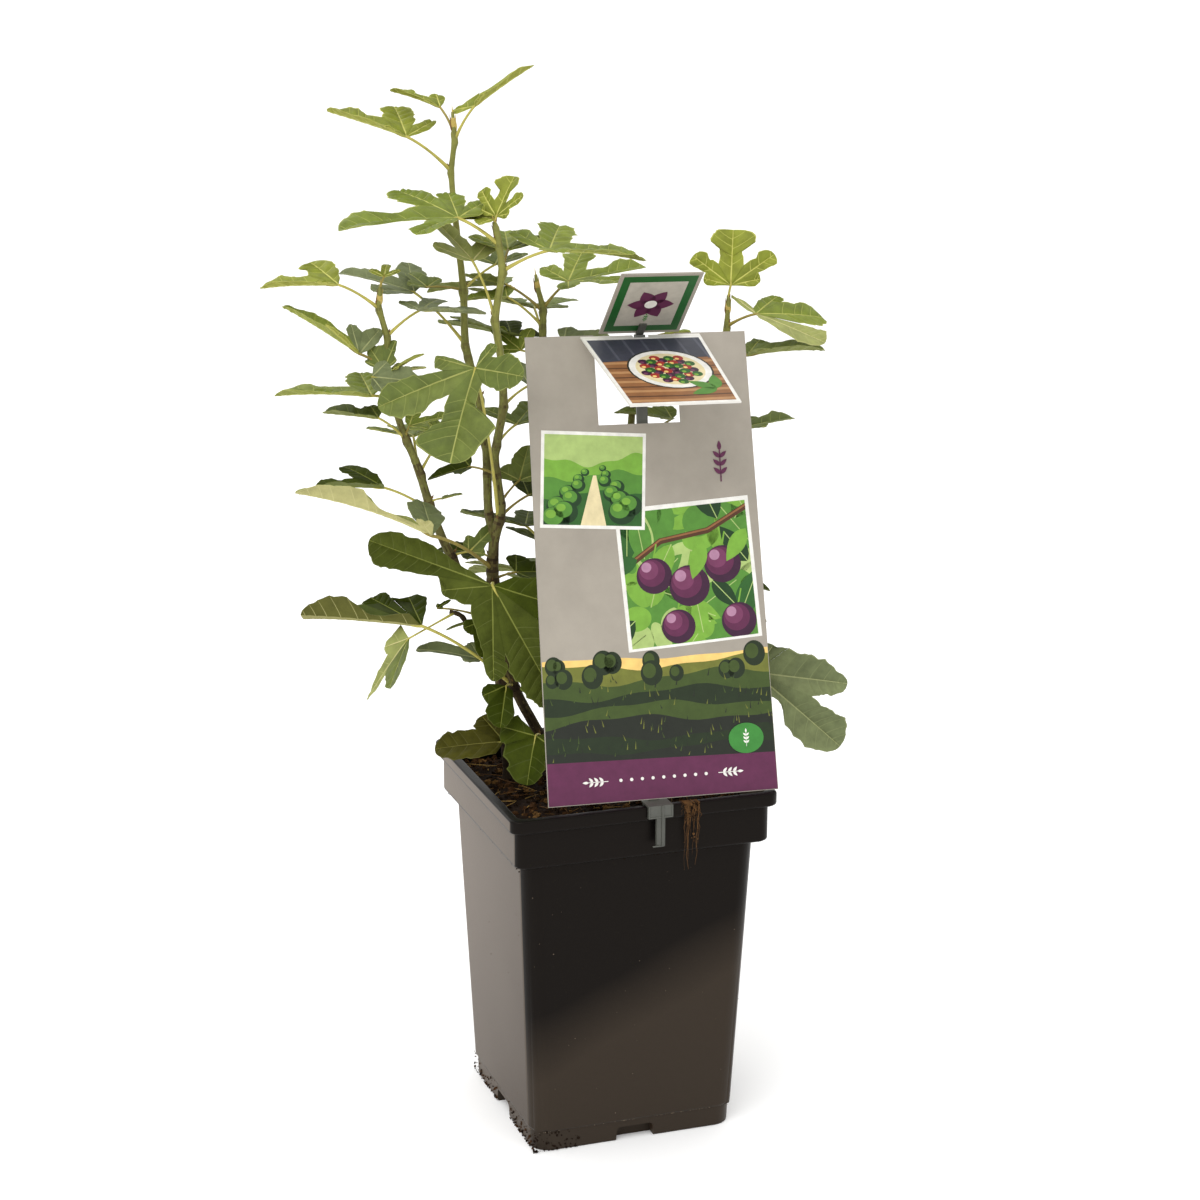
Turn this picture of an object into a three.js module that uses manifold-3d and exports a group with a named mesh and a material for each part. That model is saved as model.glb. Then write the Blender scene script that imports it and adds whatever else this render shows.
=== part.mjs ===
// A young fig bush in a square nursery pot, with a picture card clipped to the rim.
// Millimetres, +Z up. The origin is the centre of the pot's flat underside. -Y is the front face.
// The bush is several shoots from one root. Each bare length of stem and each spray of leaves is a node.
import * as THREE from "three";
import { mergeVertices } from "three/addons/utils/BufferGeometryUtils.js";
import Module from "manifold-3d";

const wasm = await Module();
wasm.setup();

// ---------------------------------------------------------------- sizes
const CLEAR = 0.3; // between solids that touch
const POT_HEIGHT = 200;
const RIM_HALF = 75.8; // half the width over the rim's flange
const RIM_LIP = 7; // height of that flange
const BAND_HALF = 72.2; // the upright band under it
const BAND_DEPTH = 28; // from the top of the pot down to the band's lower edge
const BODY_TOP_HALF = 66.8;
const BODY_FOOT_HALF = 59.2;
const FOOT_STEP = 12; // height of the slightly narrower foot
const CORNER = 6; // rounding of the pot's upright corners
const WALL = 1.8;
const FLOOR = 3;
const NOTCH = { width: 20, height: 8, depth: 9 }; // drain notch in the middle of each lower edge
const SOIL_TOP = 190;
const SOIL_CORE = 52; // half the width of the level middle of the soil
const GROUND = SOIL_TOP + CLEAR; // flat cut under each stem
const PLANT_TURN = -19; // degrees that the bush is turned in its pot

const BLADE = 1.2; // thickness of a leaf
const STALK_SINK = 6; // length of the stalk's end that is sunk along the leaf's midrib
const LEAF_DROOP = 0.07; // fall of a leaf's tip, as a share of its length
const LEAF_FOLD = 0.15; // rise of each lobe's sides from its own midrib
const LEAF_CUP = 0.22; // rise of a leaf's two halves from the middle midrib
const LEAF_EAR = { turn: 38, reach: 0.2 }; // the margin's corner beside the stalk, past the last lobe

const CARD = {
  foot: [12, -68, 201.5], // middle of its lower edge
  yaw: -2,
  lean: 16,
  roll: -1,
  height: 249,
  lower: 129.5,
  upper: 123.5,
  thick: 0.9,
  window: { left: -24, right: 22, sill: 201 },
};
const FOLD = 1; // how far the two folded pieces' creases stand from the card's top edge and its middle plane
const PLATE = { width: 45, length: 53, tilt: 62, middle: 1.5 }; // the window's cut-out, folded up
const FLAP = { top: 67, bottom: 60, length: 82, tilt: 122, middle: 2, slot: 9 }; // folded down in front
const HOLDER = { width: 6, thick: 1.6, turn: -1.9, foot: -5.7 }; // the strip behind the card
const NECK = { width: 4, below: 5, ahead: 3.5, gap: 0.8 }; // from the strip forward through the window
const HOOK = { sink: 2, length: 9, thick: 1.2 }; // from the neck up over the plate's crease
// The clip over the pot's rim: its shelf runs that far behind the card's foot.
const CLIP = { width: 14, thick: 0.9, leg: 1.6, prong: 5, drop: 22, outer: 6, inner: 8, shelf: 2.5 };

// ---------------------------------------------------------------- the bush
// Each shoot's course is a list of points [right, back, up, radius] in the bush's own axes.
const COURSE = {
  main: [
    [-50, 8, GROUND, 6.2], [-51, 8, 196, 4.2], [-54, 7, 225, 3.6], [-57, 5, 265, 3.4], [-60, 2, 303, 3.2],
    [-59, 0, 328, 2.9], [-55, -2, 345, 2.6], [-58, -5, 376, 2.3], [-53, -10, 405, 2.3], [-54, -13, 430, 2.1],
    [-57, -15, 452, 2], [-53, -18, 478, 1.9], [-55, -20, 496, 1.7], [-57, -20, 504, 1],
  ],
  tall: [
    [-59, 0, 326, 2.4], [-62, 3, 345, 2.4], [-63, 5, 380, 2.3], [-67, 8, 407, 2.2], [-74, 12, 434, 2.1],
    [-75, 16, 463, 1.9], [-80, 19, 511, 1.6], [-81, 20, 526, 1.6], [-79, 20, 543, 1.4], [-80, 20, 557, 0.8],
  ],
  left: [
    [-22, -3, GROUND, 5.2], [-25, -4, 197, 3.4], [-34, -7, 219, 3], [-45, -9, 241, 2.8], [-54, -10, 264, 2.7],
    [-64, -10, 287, 2.6], [-75, -10, 308, 2.5], [-86, -10, 331, 2.4], [-93, -10, 350, 2.3],
    [-99, -10, 371, 2.2], [-108, -12, 395, 1.9], [-112, -13, 411, 1.8], [-115, -15, 430, 1.7],
    [-114, -16, 442, 1.6], [-118, -17, 459, 1.5], [-117, -18, 470, 0.8],
  ],
  back: [
    [-24, 24, GROUND, 4.6], [-25, 25, 197, 3], [-27, 32, 260, 2.7], [-29, 40, 320, 2.5], [-32, 50, 380, 2.3],
    [-33, 58, 425, 2], [-33, 60, 446, 1.7], [-36, 60, 458, 1.4], [-37, 60, 465, 0.8],
  ],
  middle: [
    [-5, 20, GROUND, 4.4], [-4, 21, 197, 2.9], [2, 27, 260, 2.6], [10, 35, 330, 2.3], [16, 42, 385, 2],
    [18, 46, 420, 1.6], [19, 47, 436, 0.8],
  ],
  right: [
    [6, 6, GROUND, 4.8], [8, 7, 197, 3.1], [20, 14, 240, 2.8], [36, 24, 290, 2.6], [52, 33, 345, 2.4],
    [63, 40, 399, 2.2], [68, 44, 436, 1.8], [69, 45, 456, 0.9],
  ],
  low: [
    [2, -16, GROUND, 4.2], [5, -15, 197, 2.7], [18, -8, 225, 2.4], [36, 0, 255, 2], [48, 6, 285, 1.7],
    [54, 9, 312, 0.8],
  ],
};

// How a leaf's lobes fan out: [degrees from the middle lobe, length, half width if it isn't the leaf's]
// with the middle lobe's length as 1, their half width, how far out the bays between them reach, and how
// blunt the tips are.
const SHAPES = {
  five: {
    lobes: [[-110, 0.48], [-56, 0.84], [0, 1], [56, 0.84], [110, 0.48]],
    half: 0.21, bay: 0.36, blunt: 2.6,
  },
  deep: {
    lobes: [[-114, 0.42], [-58, 0.84], [0, 1], [58, 0.84], [114, 0.42]],
    half: 0.22, bay: 0.28, blunt: 3.2,
  },
  fan: {
    lobes: [[-90, 0.46], [-56, 0.92], [0, 1], [56, 0.92], [90, 0.46]],
    half: 0.31, bay: 0.4, blunt: 3.6,
  },
  three: { lobes: [[-62, 0.72], [0, 1], [62, 0.72]], half: 0.21, bay: 0.38, blunt: 2.4 },
  plain: { lobes: [[-70, 0.55], [0, 1], [70, 0.55]], half: 0.28, bay: 0.6, blunt: 2 },
  lopsided: {
    lobes: [[-88, 0.36], [-55, 1.02], [0, 1, 0.4], [80, 0.66], [128, 0.34]],
    half: 0.25, bay: 0.3, blunt: 3.4,
  },
  apron: {
    lobes: [[-142, 1, 0.2], [-90, 0.3], [-22, 0.76], [0, 1], [44, 0.6]],
    half: 0.24, bay: 0.46, blunt: 2.6,
  },
  mitten: { lobes: [[-64, 0.36], [0, 1], [46, 0.4]], half: 0.2, bay: 0.5, blunt: 2.6 },
  wing: { lobes: [[-36, 0.5], [0, 1], [56, 0.92], [96, 0.4]], half: 0.33, bay: 0.5, blunt: 3.4 },
  twin: { lobes: [[0, 1], [62, 0.72]], half: 0.22, bay: 0.42, blunt: 2.6 },
};

// Leaves as they stand on a shoot: height of the node, then the stalk's bearing, rise and length, then the
// blade's bearing, pitch, roll, length and shape, and its cup if it isn't LEAF_CUP. Bearings run from 0
// (right) by 90 (back) to 180 (left).
const LEAVES = {
  foliage_tall: [
    [434, 160, 42, 40, 166, 17, -8, 43, "three"],
    [463, 28, 33, 23, 80, 18, 0, 26, "three"],
    [463, 172, 3, 20, 125, 20, -4, 20, "plain"],
    [526, -168, 38, 30, 157, 17, -3, 48, "five"],
    [546, 147, 55, 16, 149, 18, -3, 32, "plain"],
    [542, -24, 57, 22, 12, 37, 3, 38, "plain"],
  ],
  foliage_front_top: [
    [405, 48, 22, 22, 48, 5, 10, 36, "three"],
    [452, 157, 67, 33, 134, 34, 0, 33, "three"],
    [478, 7, 23, 27, 29, -4, 5, 58, "five"],
    [478, 80, 30, 18, 95, 15, 0, 32, "three"],
    [492, -168, 34, 26, -169, 1, -8, 62, "deep", 0.14],
    [500, 118, 67, 6, 160, 2, -20, 22, "plain"],
    [502, -60, 73, 5, 40, 62, 0, 26, "fan"],
  ],
  foliage_front_low: [
    [339, -103, 64, 103, -117, -55, -6, 51, "lopsided"],
    [342, 40, 25, 22, 40, 6, 5, 38, "three"],
    [350, 55, 28, 20, 75, 45, 0, 24, "plain"],
    [366, -160, 20, 16, 178, -14, -10, 24, "plain"],
    [383, 60, 20, 22, 75, 10, 0, 36, "three"],
  ],
  foliage_left_top: [
    [400, 110, 30, 15, 100, 5, 0, 32, "three"],
    [411, -158, 53, 9, 72, 58, 26, 28, "three"],
    [406, -60, 40, 10, 34, 38, 0, 29, "plain"],
    [408, -131, 17, 17, 166, 2, 2, 54, "three"],
    [424, -142, 33, 21, 165, 32, 6, 48, "three"],
    [443, 33, 31, 24, 17, -3, -2, 36, "five"],
    [458, -158, 32, 26, 170, 0, -8, 42, "three"],
    [468, -40, 66, 8, 86, 26, 0, 13, "three"],
  ],
  foliage_left_mid: [
    [347, -169, 29, 29, -166, 8, -6, 37, "plain"],
    [368, 35, 50, 24, 60, 25, 0, 28, "three"],
    [372, 100, 35, 22, 110, 0, 0, 36, "three"],
    [386, -149, 40, 22, 164, 4, -8, 31, "plain"],
    [388, -70, 45, 10, 12, 17, 12, 24, "plain"],
  ],
  foliage_left_low: [
    [219, -95, 18, 24, -108, -52, 12, 32, "plain"],
    [216, -164, 4, 22, 178, -2, -22, 42, "mitten"],
    [248, -162, 37, 65, 165, 3, 9, 68, "deep"],
    [249, -110, 15, 12, -92, -56, 0, 25, "plain"],
    [262, 172, -8, 12, 176, 2, -16, 36, "plain"],
    [283, -161, -4, 45, 165, -53, -38, 46, "twin"],
  ],
  foliage_back: [
    [418, 165, 20, 14, 140, 28, -20, 24, "three"],
    [426, 10, 12, 12, 12, 6, 10, 26, "plain"],
    [436, 180, 40, 26, 165, -2, -6, 28, "plain"],
    [446, -19, 47, 22, 20, 9, 8, 46, "five"],
  ],
  foliage_right: [
    [399, 0, -38, 22, 22, 4, 4, 31, "plain"],
    [432, -7, -28, 15, 6, -2, 5, 36, "plain"],
    [439, -31, 25, 20, 17, -8, 22, 44, "fan"],
    [453, -50, 78, 9, 84, 62, 0, 33, "fan"],
  ],
  foliage_middle: [
    [432, -30, 60, 8, 20, 45, 0, 18, "three"],
    [366, -12, 43, 34, 175, 10, 0, 32, "plain"],
  ],
  foliage_low_right: [
    [284, 18, -30, 52, -30, -31, -16, 63, "wing"],
    [308, 185, 40, 12, 178, 20, 0, 26, "plain"],
    [296, 20, 20, 14, 10, 6, 0, 22, "plain"],
    [270, 165, 15, 18, -172, 4, 0, 30, "plain"],
  ],
};

// Leaves that grow in turn round a shoot, each GOLDEN degrees on from the last, between two bearings.
const GOLDEN = 137.5;
const TURNS = {
  foliage_back_low: { from: 266, to: 318, count: 4, first: 20, stalk: 22, blade: 40, over: [60, 150] },
  foliage_right_low: { from: 262, to: 312, count: 3, first: 70, stalk: 22, blade: 38, over: [50, 100] },
  foliage_back: { from: 408, to: 452, count: 3, first: 55, stalk: 26, blade: 44, over: [85, 172] },
  foliage_right: { from: 390, to: 440, count: 3, first: 60, stalk: 24, blade: 42, over: [55, 120] },
  foliage_middle: { from: 352, to: 412, count: 4, first: 40, stalk: 24, blade: 42, over: [55, 120] },
};

// Bare lengths of stem, and the sprays that they run into: [course, from, to] by height.
const STEMS = {
  trunk: ["main", GROUND, 334],
  bough_tall: ["tall", 326, 424],
  stem_left: ["left", GROUND, 212],
  bough_left: ["left", 296, 340],
  stem_back: ["back", GROUND, 262],
  bough_back: ["back", 322, 398],
  stem_middle: ["middle", GROUND, 348],
  stem_right: ["right", GROUND, 256],
  bough_right: ["right", 316, 386],
  stem_low: ["low", GROUND, 258],
};
const SPRAYS = {
  foliage_front_low: ["main", 334, 399],
  foliage_front_top: ["main", 399, 505],
  foliage_tall: ["tall", 424, 558],
  foliage_left_low: ["left", 212, 296],
  foliage_left_mid: ["left", 340, 395],
  foliage_left_top: ["left", 395, 471],
  foliage_back_low: ["back", 262, 322],
  foliage_back: ["back", 398, 466],
  foliage_middle: ["middle", 348, 437],
  foliage_right_low: ["right", 256, 316],
  foliage_right: ["right", 386, 457],
  foliage_low_right: ["low", 258, 313],
};
// Single leaves that stand on the bare trunk.
const TRUNK_LEAVES = {
  leaf_front_large: [303, -88, 14, 27, -30, -56, 58, 67, "apron"],
  leaf_left_long: [312, -125, 29, 60, -178, 19, -11, 74, "mitten"],
  leaf_left_dark: [318, 165, 20, 8, 170, 6, -14, 24, "plain"],
  leaf_right_dark: [306, 20, 12, 14, 25, -4, 15, 30, "plain"],
};

const MATERIALS = {
  pot: new THREE.MeshStandardMaterial({ color: 0x1b1917, roughness: 0.45, metalness: 0 }),
  soil: new THREE.MeshStandardMaterial({ color: 0x3a2417, roughness: 1, metalness: 0 }),
  bark: new THREE.MeshStandardMaterial({ color: 0x54492c, roughness: 0.8, metalness: 0 }),
  leaf: new THREE.MeshStandardMaterial({ color: 0x6f8f35, roughness: 0.55, metalness: 0 }),
  card: new THREE.MeshStandardMaterial({ color: 0xa59c92, roughness: 0.5, metalness: 0 }),
  clip: new THREE.MeshStandardMaterial({ color: 0x3b3d38, roughness: 0.5, metalness: 0 }),
};

// ---------------------------------------------------------------- solids
const radians = THREE.MathUtils.degToRad;

function solid(geometry) {
  const g = geometry.clone();
  g.deleteAttribute("normal");
  g.deleteAttribute("uv");
  const merged = mergeVertices(g, 1e-4);
  return new wasm.Manifold(
    new wasm.Mesh({
      numProp: 3,
      vertProperties: new Float32Array(merged.attributes.position.array),
      triVerts: new Uint32Array(merged.index.array),
    }),
  );
}

function geometryOf(manifold) {
  const m = manifold.getMesh();
  const g = new THREE.BufferGeometry();
  g.setAttribute("position", new THREE.BufferAttribute(new Float32Array(m.vertProperties), 3));
  g.setIndex(new THREE.BufferAttribute(new Uint32Array(m.triVerts), 1));
  return g;
}

function faceted(points, triangles) {
  const g = new THREE.BufferGeometry();
  g.setAttribute("position", new THREE.Float32BufferAttribute(points.flat(), 3));
  g.setIndex(triangles.flat());
  return g;
}

// The largest body of a solid: a spray is one piece, and scraps of a cut are dropped.
function largest(manifold) {
  return manifold.decompose().sort((a, b) => b.volume() - a.volume())[0];
}

function mesh(name, geometry, material) {
  const m = new THREE.Mesh(geometry, MATERIALS[material]);
  m.name = name;
  return m;
}

// A solid through rings of points, each ring the same count and counterclockwise from above, bottom first.
function loft(rings) {
  const n = rings[0].length;
  const points = rings.flat();
  const triangles = [];
  rings.slice(1).forEach((_, k) => {
    for (let i = 0; i < n; i++) {
      const a = k * n + i;
      const b = k * n + ((i + 1) % n);
      triangles.push([a, b, b + n], [a, b + n, a + n]);
    }
  });
  const last = (rings.length - 1) * n;
  for (let i = 1; i < n - 1; i++) {
    triangles.push([0, i + 1, i], [last, last + i, last + i + 1]);
  }
  return faceted(points, triangles);
}

function roundedSquare(half, radius, z, steps = 3) {
  const ring = [];
  for (let corner = 0; corner < 4; corner++) {
    for (let k = 0; k <= steps; k++) {
      const a = radians(90 * corner + (90 * k) / steps);
      const [sx, sy] = [[1, 1], [-1, 1], [-1, -1], [1, -1]][corner];
      const straight = half - radius;
      ring.push([sx * straight + radius * Math.cos(a), sy * straight + radius * Math.sin(a), z]);
    }
  }
  return ring;
}

const bodyHalf = (z) =>
  THREE.MathUtils.lerp(BODY_FOOT_HALF, BODY_TOP_HALF, z / (POT_HEIGHT - BAND_DEPTH));
const BAND_FOOT = POT_HEIGHT - BAND_DEPTH;

// The pot's inside, level by level: [half width, corner, height]. It steps in over the drain notches.
const INSIDE = [
  [bodyHalf(FLOOR) - NOTCH.depth, CORNER - WALL, FLOOR],
  [bodyHalf(NOTCH.height + WALL) - NOTCH.depth, CORNER - WALL, NOTCH.height + WALL],
  [bodyHalf(NOTCH.height + 4) - WALL, CORNER - WALL, NOTCH.height + 4],
  [BODY_TOP_HALF - WALL, CORNER - WALL, BAND_FOOT + 1],
  [BAND_HALF - WALL, CORNER - WALL, BAND_FOOT + 3],
];

function makePot() {
  const lipFoot = POT_HEIGHT - RIM_LIP;
  const outside = loft([
    roundedSquare(BODY_FOOT_HALF - 1, CORNER - 1, 0),
    roundedSquare(bodyHalf(FOOT_STEP) - 1, CORNER - 1, FOOT_STEP),
    roundedSquare(bodyHalf(FOOT_STEP), CORNER, FOOT_STEP + 1),
    roundedSquare(BODY_TOP_HALF, CORNER, BAND_FOOT - 1),
    roundedSquare(BAND_HALF, CORNER, BAND_FOOT),
    roundedSquare(BAND_HALF, CORNER, lipFoot - 1),
    roundedSquare(RIM_HALF, CORNER, lipFoot),
    roundedSquare(RIM_HALF, CORNER, POT_HEIGHT),
  ]);
  const top = [BAND_HALF - WALL, CORNER - WALL, POT_HEIGHT + 1];
  let pot = solid(outside).subtract(solid(loft([...INSIDE, top].map((level) => roundedSquare(...level)))));
  for (let side = 0; side < 4; side++) {
    const notch = new THREE.BoxGeometry(NOTCH.width, 2 * NOTCH.depth - 2 * WALL, 2 * NOTCH.height);
    notch.translate(0, -BODY_FOOT_HALF, 0);
    notch.rotateZ(radians(90 * side));
    pot = pot.subtract(solid(notch));
  }
  return mesh("pot", geometryOf(pot), "pot");
}

// A number from 0 to 1 that is always the same for the same key.
function chance(key) {
  const s = Math.sin(key * 12.9898) * 43758.5453;
  return s - Math.floor(s);
}

// The soil fills the pot's inside a clearance short of it, and settles a little towards the walls.
function makeSoil() {
  const filled = INSIDE.map(([half, corner, z]) => roundedSquare(half - 2 * CLEAR, corner, z + CLEAR));
  const ring = (half, z, bumps) =>
    roundedSquare(half, CORNER - WALL, z).map(([x, y, h], i) => [x, y, h + bumps * (chance(i + half) - 0.5)]);
  const g = loft([
    ...filled,
    ring(BAND_HALF - WALL - 2 * CLEAR, SOIL_TOP - 4, 2),
    ring(SOIL_CORE + 8, SOIL_TOP - 1.5, 2),
    ring(SOIL_CORE, SOIL_TOP, 0),
  ]);
  return mesh("soil", g, "soil");
}

// ---------------------------------------------------------------- stems and leaves
const vector = (bearing, rise) =>
  new THREE.Vector3(
    Math.cos(radians(rise)) * Math.cos(radians(bearing)),
    Math.cos(radians(rise)) * Math.sin(radians(bearing)),
    Math.sin(radians(rise)),
  );

// A round limb along points [x, y, z, radius], square to its own course.
function limb(points, sides = 6) {
  const at = points.map((p) => new THREE.Vector3(...p.slice(0, 3)));
  let across = new THREE.Vector3(1, 0.2, 0);
  const rings = at.map((p, k) => {
    const way = at[Math.min(k + 1, at.length - 1)].clone().sub(at[Math.max(k - 1, 0)]).normalize();
    if (points[k].level) way.set(0, 0, 1);
    across = across.clone().addScaledVector(way, -across.dot(way));
    if (across.length() < 0.2) across.set(0, 0, 1).addScaledVector(way, -way.z);
    across.normalize();
    const side = way.clone().cross(across);
    return Array.from({ length: sides }, (_, i) => {
      const a = (2 * Math.PI * i) / sides;
      return p
        .clone()
        .addScaledVector(across, points[k][3] * Math.cos(a))
        .addScaledVector(side, points[k][3] * Math.sin(a))
        .toArray();
    });
  });
  return loft(rings);
}

// The point of a course at a height, as [x, y, z, radius].
function courseAt(course, z) {
  const k = Math.max(1, course.findIndex((p, i) => p[2] >= z || i === course.length - 1));
  const [a, b] = [course[k - 1], course[k]];
  const t = (z - a[2]) / (b[2] - a[2]);
  return a.map((v, i) => v + (b[i] - v) * t);
}

// The length of a course between two heights, its ends cut level.
function stretch(course, from, to, spare = 0) {
  const inner = course.filter((p) => p[2] > from + 0.5 && p[2] < to - 0.5);
  const points = [courseAt(course, from), ...inner, courseAt(course, to)].map((p) => {
    const q = [...p];
    q[3] += spare;
    return q;
  });
  points[0].level = points.at(-1).level = true;
  return points;
}

// Where a lobe's margin is measured, from the bay beside it to its tip.
const STATIONS = [0, 0.5, 0.88, 1];
const FEW_STATIONS = [0, 0.7, 1]; // on a small leaf
const SMALL_LEAF = 30;

// One half lobe's margin: points from the bay beside it to its tip, in shares of the leaf's length.
function margin(lobe, bay, side, shape, stations) {
  const [angle, length, broad = shape.half] = lobe;
  const away = Math.abs(bay.angle - angle);
  const out = bay.reach * Math.cos(radians(away));
  const start = Math.abs(bay.reach * Math.sin(radians(away)));
  const width = broad * (0.55 + 0.45 * length);
  return stations.map((p) => {
    const swell = Math.min(1, p / 0.6);
    const half =
      Math.sqrt(1 - p ** shape.blunt) * (start + (width - start) * swell * swell * (3 - 2 * swell));
    return { along: out + (length - out) * p, half: side * half, angle };
  });
}

const flat = ({ along, half, angle }) => {
  const a = radians(angle);
  return [along * Math.cos(a) - half * Math.sin(a), along * Math.sin(a) + half * Math.cos(a)];
};

// A leaf as a closed thin solid. Its stalk's end is at foot, its midrib runs along heading and pitch.
function blade(foot, heading, pitch, roll, length, shape, cup = LEAF_CUP) {
  const { lobes, bay } = shape;
  const stations = length < SMALL_LEAF ? FEW_STATIONS : STATIONS;
  const along = vector(heading, pitch);
  const left = new THREE.Vector3(0, 0, 1).cross(along).normalize();
  const up = along.clone().cross(left);
  left.applyAxisAngle(along, radians(roll));
  up.applyAxisAngle(along, radians(roll));
  const plane = []; // [u, v, distance from the nearest midrib]
  const place = (u, v, aside) => plane.push([u, v, aside]) - 1;
  const centre = place(0, 0, 0);
  const top = [];
  const rim = [];
  const bays = lobes.slice(1).map((lobe, k) => ({
    angle: (lobe[0] + lobes[k][0]) / 2,
    reach: (bay * (lobe[1] + lobes[k][1])) / 2,
  }));
  bays.unshift({ angle: lobes[0][0] - LEAF_EAR.turn, reach: LEAF_EAR.reach });
  bays.push({ angle: lobes.at(-1)[0] + LEAF_EAR.turn, reach: LEAF_EAR.reach });
  const bayPoint = bays.map(({ angle, reach }) => {
    const a = radians(angle);
    return place(reach * Math.cos(a), reach * Math.sin(a), reach * 0.5);
  });
  lobes.forEach((lobe, k) => {
    const tip = place(...flat({ along: lobe[1], half: 0, angle: lobe[0] }), 0);
    const rib = place(...flat({ along: lobe[1] * 0.6, half: 0, angle: lobe[0] }), 0);
    [-1, 1].forEach((side) => {
      const near = side < 0 ? k : k + 1;
      const inner = margin(lobe, bays[near], side, shape, stations).slice(1, -1);
      const outer = [bayPoint[near], ...inner.map((q) => place(...flat(q), Math.abs(q.half))), tip];
      const ring = [centre, ...outer];
      for (let s = 0; s < ring.length - 1; s++) {
        top.push(side > 0 ? [rib, ring[s + 1], ring[s]] : [rib, ring[s], ring[s + 1]]);
        if (s > 0) rim.push(side > 0 ? [ring[s + 1], ring[s]] : [ring[s], ring[s + 1]]);
      }
    });
  });
  rim.push([centre, bayPoint[0]], [bayPoint.at(-1), centre]);
  const lift = (u, v, aside) => LEAF_FOLD * aside + cup * Math.abs(v) - LEAF_DROOP * (u * u + v * v);
  const point = ([u, v, aside], side) =>
    foot
      .clone()
      .addScaledVector(along, u * length)
      .addScaledVector(left, v * length)
      .addScaledVector(up, lift(u, v, aside) * length + (side * BLADE) / 2)
      .toArray();
  const n = plane.length;
  const points = [...plane.map((p) => point(p, 1)), ...plane.map((p) => point(p, -1))];
  const triangles = [...top, ...top.map(([a, b, c]) => [a + n, c + n, b + n])];
  rim.forEach(([a, b]) => triangles.push([b, a, a + n], [b, a + n, b + n]));
  return faceted(points, triangles);
}

// A leaf with its stalk, from the middle of the stem.
function leaf(course, row) {
  const [height, bearing, rise, reach, heading, pitch, roll, length, shape, cup] = row;
  const root = new THREE.Vector3(...courseAt(course, height));
  const foot = root.clone().addScaledVector(vector(bearing, rise), reach);
  const bow = root.clone().lerp(foot, 0.5).add(new THREE.Vector3(0, 0, 0.06 * reach));
  const sunk = foot.clone().addScaledVector(vector(heading, pitch), STALK_SINK);
  const thick = 0.75 + length / 130;
  const stalk = limb(
    [
      [...root.toArray(), thick],
      [...bow.toArray(), thick],
      [...foot.toArray(), thick * 0.9],
      [...sunk.toArray(), thick * 0.5],
    ],
    4,
  );
  return solid(stalk).add(solid(blade(foot, heading, pitch, roll, length, SHAPES[shape], cup)));
}

// The rows of the leaves that stand in turn round a shoot, those outside the free side left out.
function turned({ from, to, count, first, stalk, blade: size, over }) {
  const rows = [];
  for (let k = 0; k < count; k++) {
    const height = from + ((to - from) * (k + 0.5)) / count;
    const bearing = over[0] + ((first + GOLDEN * k) % (over[1] - over[0]));
    const pitch = -12 + 24 * chance(k + from);
    const share = 0.8 + 0.35 * chance(k + to);
    const shape = ["five", "deep", "three"][k % 3];
    rows.push([height, bearing, 30, stalk * share, bearing + 12, pitch, 10, size * share, shape]);
  }
  return rows;
}

function makeSpray(name) {
  const [courseName, from, to] = SPRAYS[name];
  const course = COURSE[courseName];
  let whole = solid(limb(stretch(course, from + CLEAR, to), 6));
  const rows = [...(LEAVES[name] ?? []), ...(TURNS[name] ? turned(TURNS[name]) : [])];
  rows.forEach((row) => {
    whole = whole.add(leaf(course, row));
  });
  return mesh(name, geometryOf(largest(whole)), "leaf");
}

// A length of the main shoot with a clearance round it, to cut what stands on it.
const roundTrunk = (from, to) => solid(limb(stretch(COURSE.main, from, to, CLEAR), 8));

const plant = new THREE.Group();
plant.rotation.z = radians(PLANT_TURN);

for (const [name, [courseName, from, to]] of Object.entries(STEMS)) {
  const course = COURSE[courseName];
  let stem = solid(limb(stretch(course, from === GROUND ? from : from + CLEAR, to), 8));
  if (name === "bough_tall") stem = largest(stem.subtract(roundTrunk(300, 380)));
  plant.add(mesh(name, geometryOf(stem), "bark"));
}
Object.keys(SPRAYS).forEach((name) => plant.add(makeSpray(name)));
for (const [name, row] of Object.entries(TRUNK_LEAVES)) {
  plant.add(mesh(name, geometryOf(largest(leaf(COURSE.main, row).subtract(roundTrunk(280, 334)))), "leaf"));
}

// ---------------------------------------------------------------- picture card
// A flat piece with its outline in X and Y, centred on the plane of Z = 0.
function sheet(outline) {
  const shape = new THREE.Shape(outline.map(([x, y]) => new THREE.Vector2(x, y)));
  const g = new THREE.ExtrudeGeometry(shape, { depth: CARD.thick, bevelEnabled: false });
  return g.translate(0, 0, -CARD.thick / 2);
}

// A box between two corners.
function box([x0, y0, z0], [x1, y1, z1]) {
  const g = new THREE.BoxGeometry(x1 - x0, y1 - y0, z1 - z0);
  return g.translate((x0 + x1) / 2, (y0 + y1) / 2, (z0 + z1) / 2);
}

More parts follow.
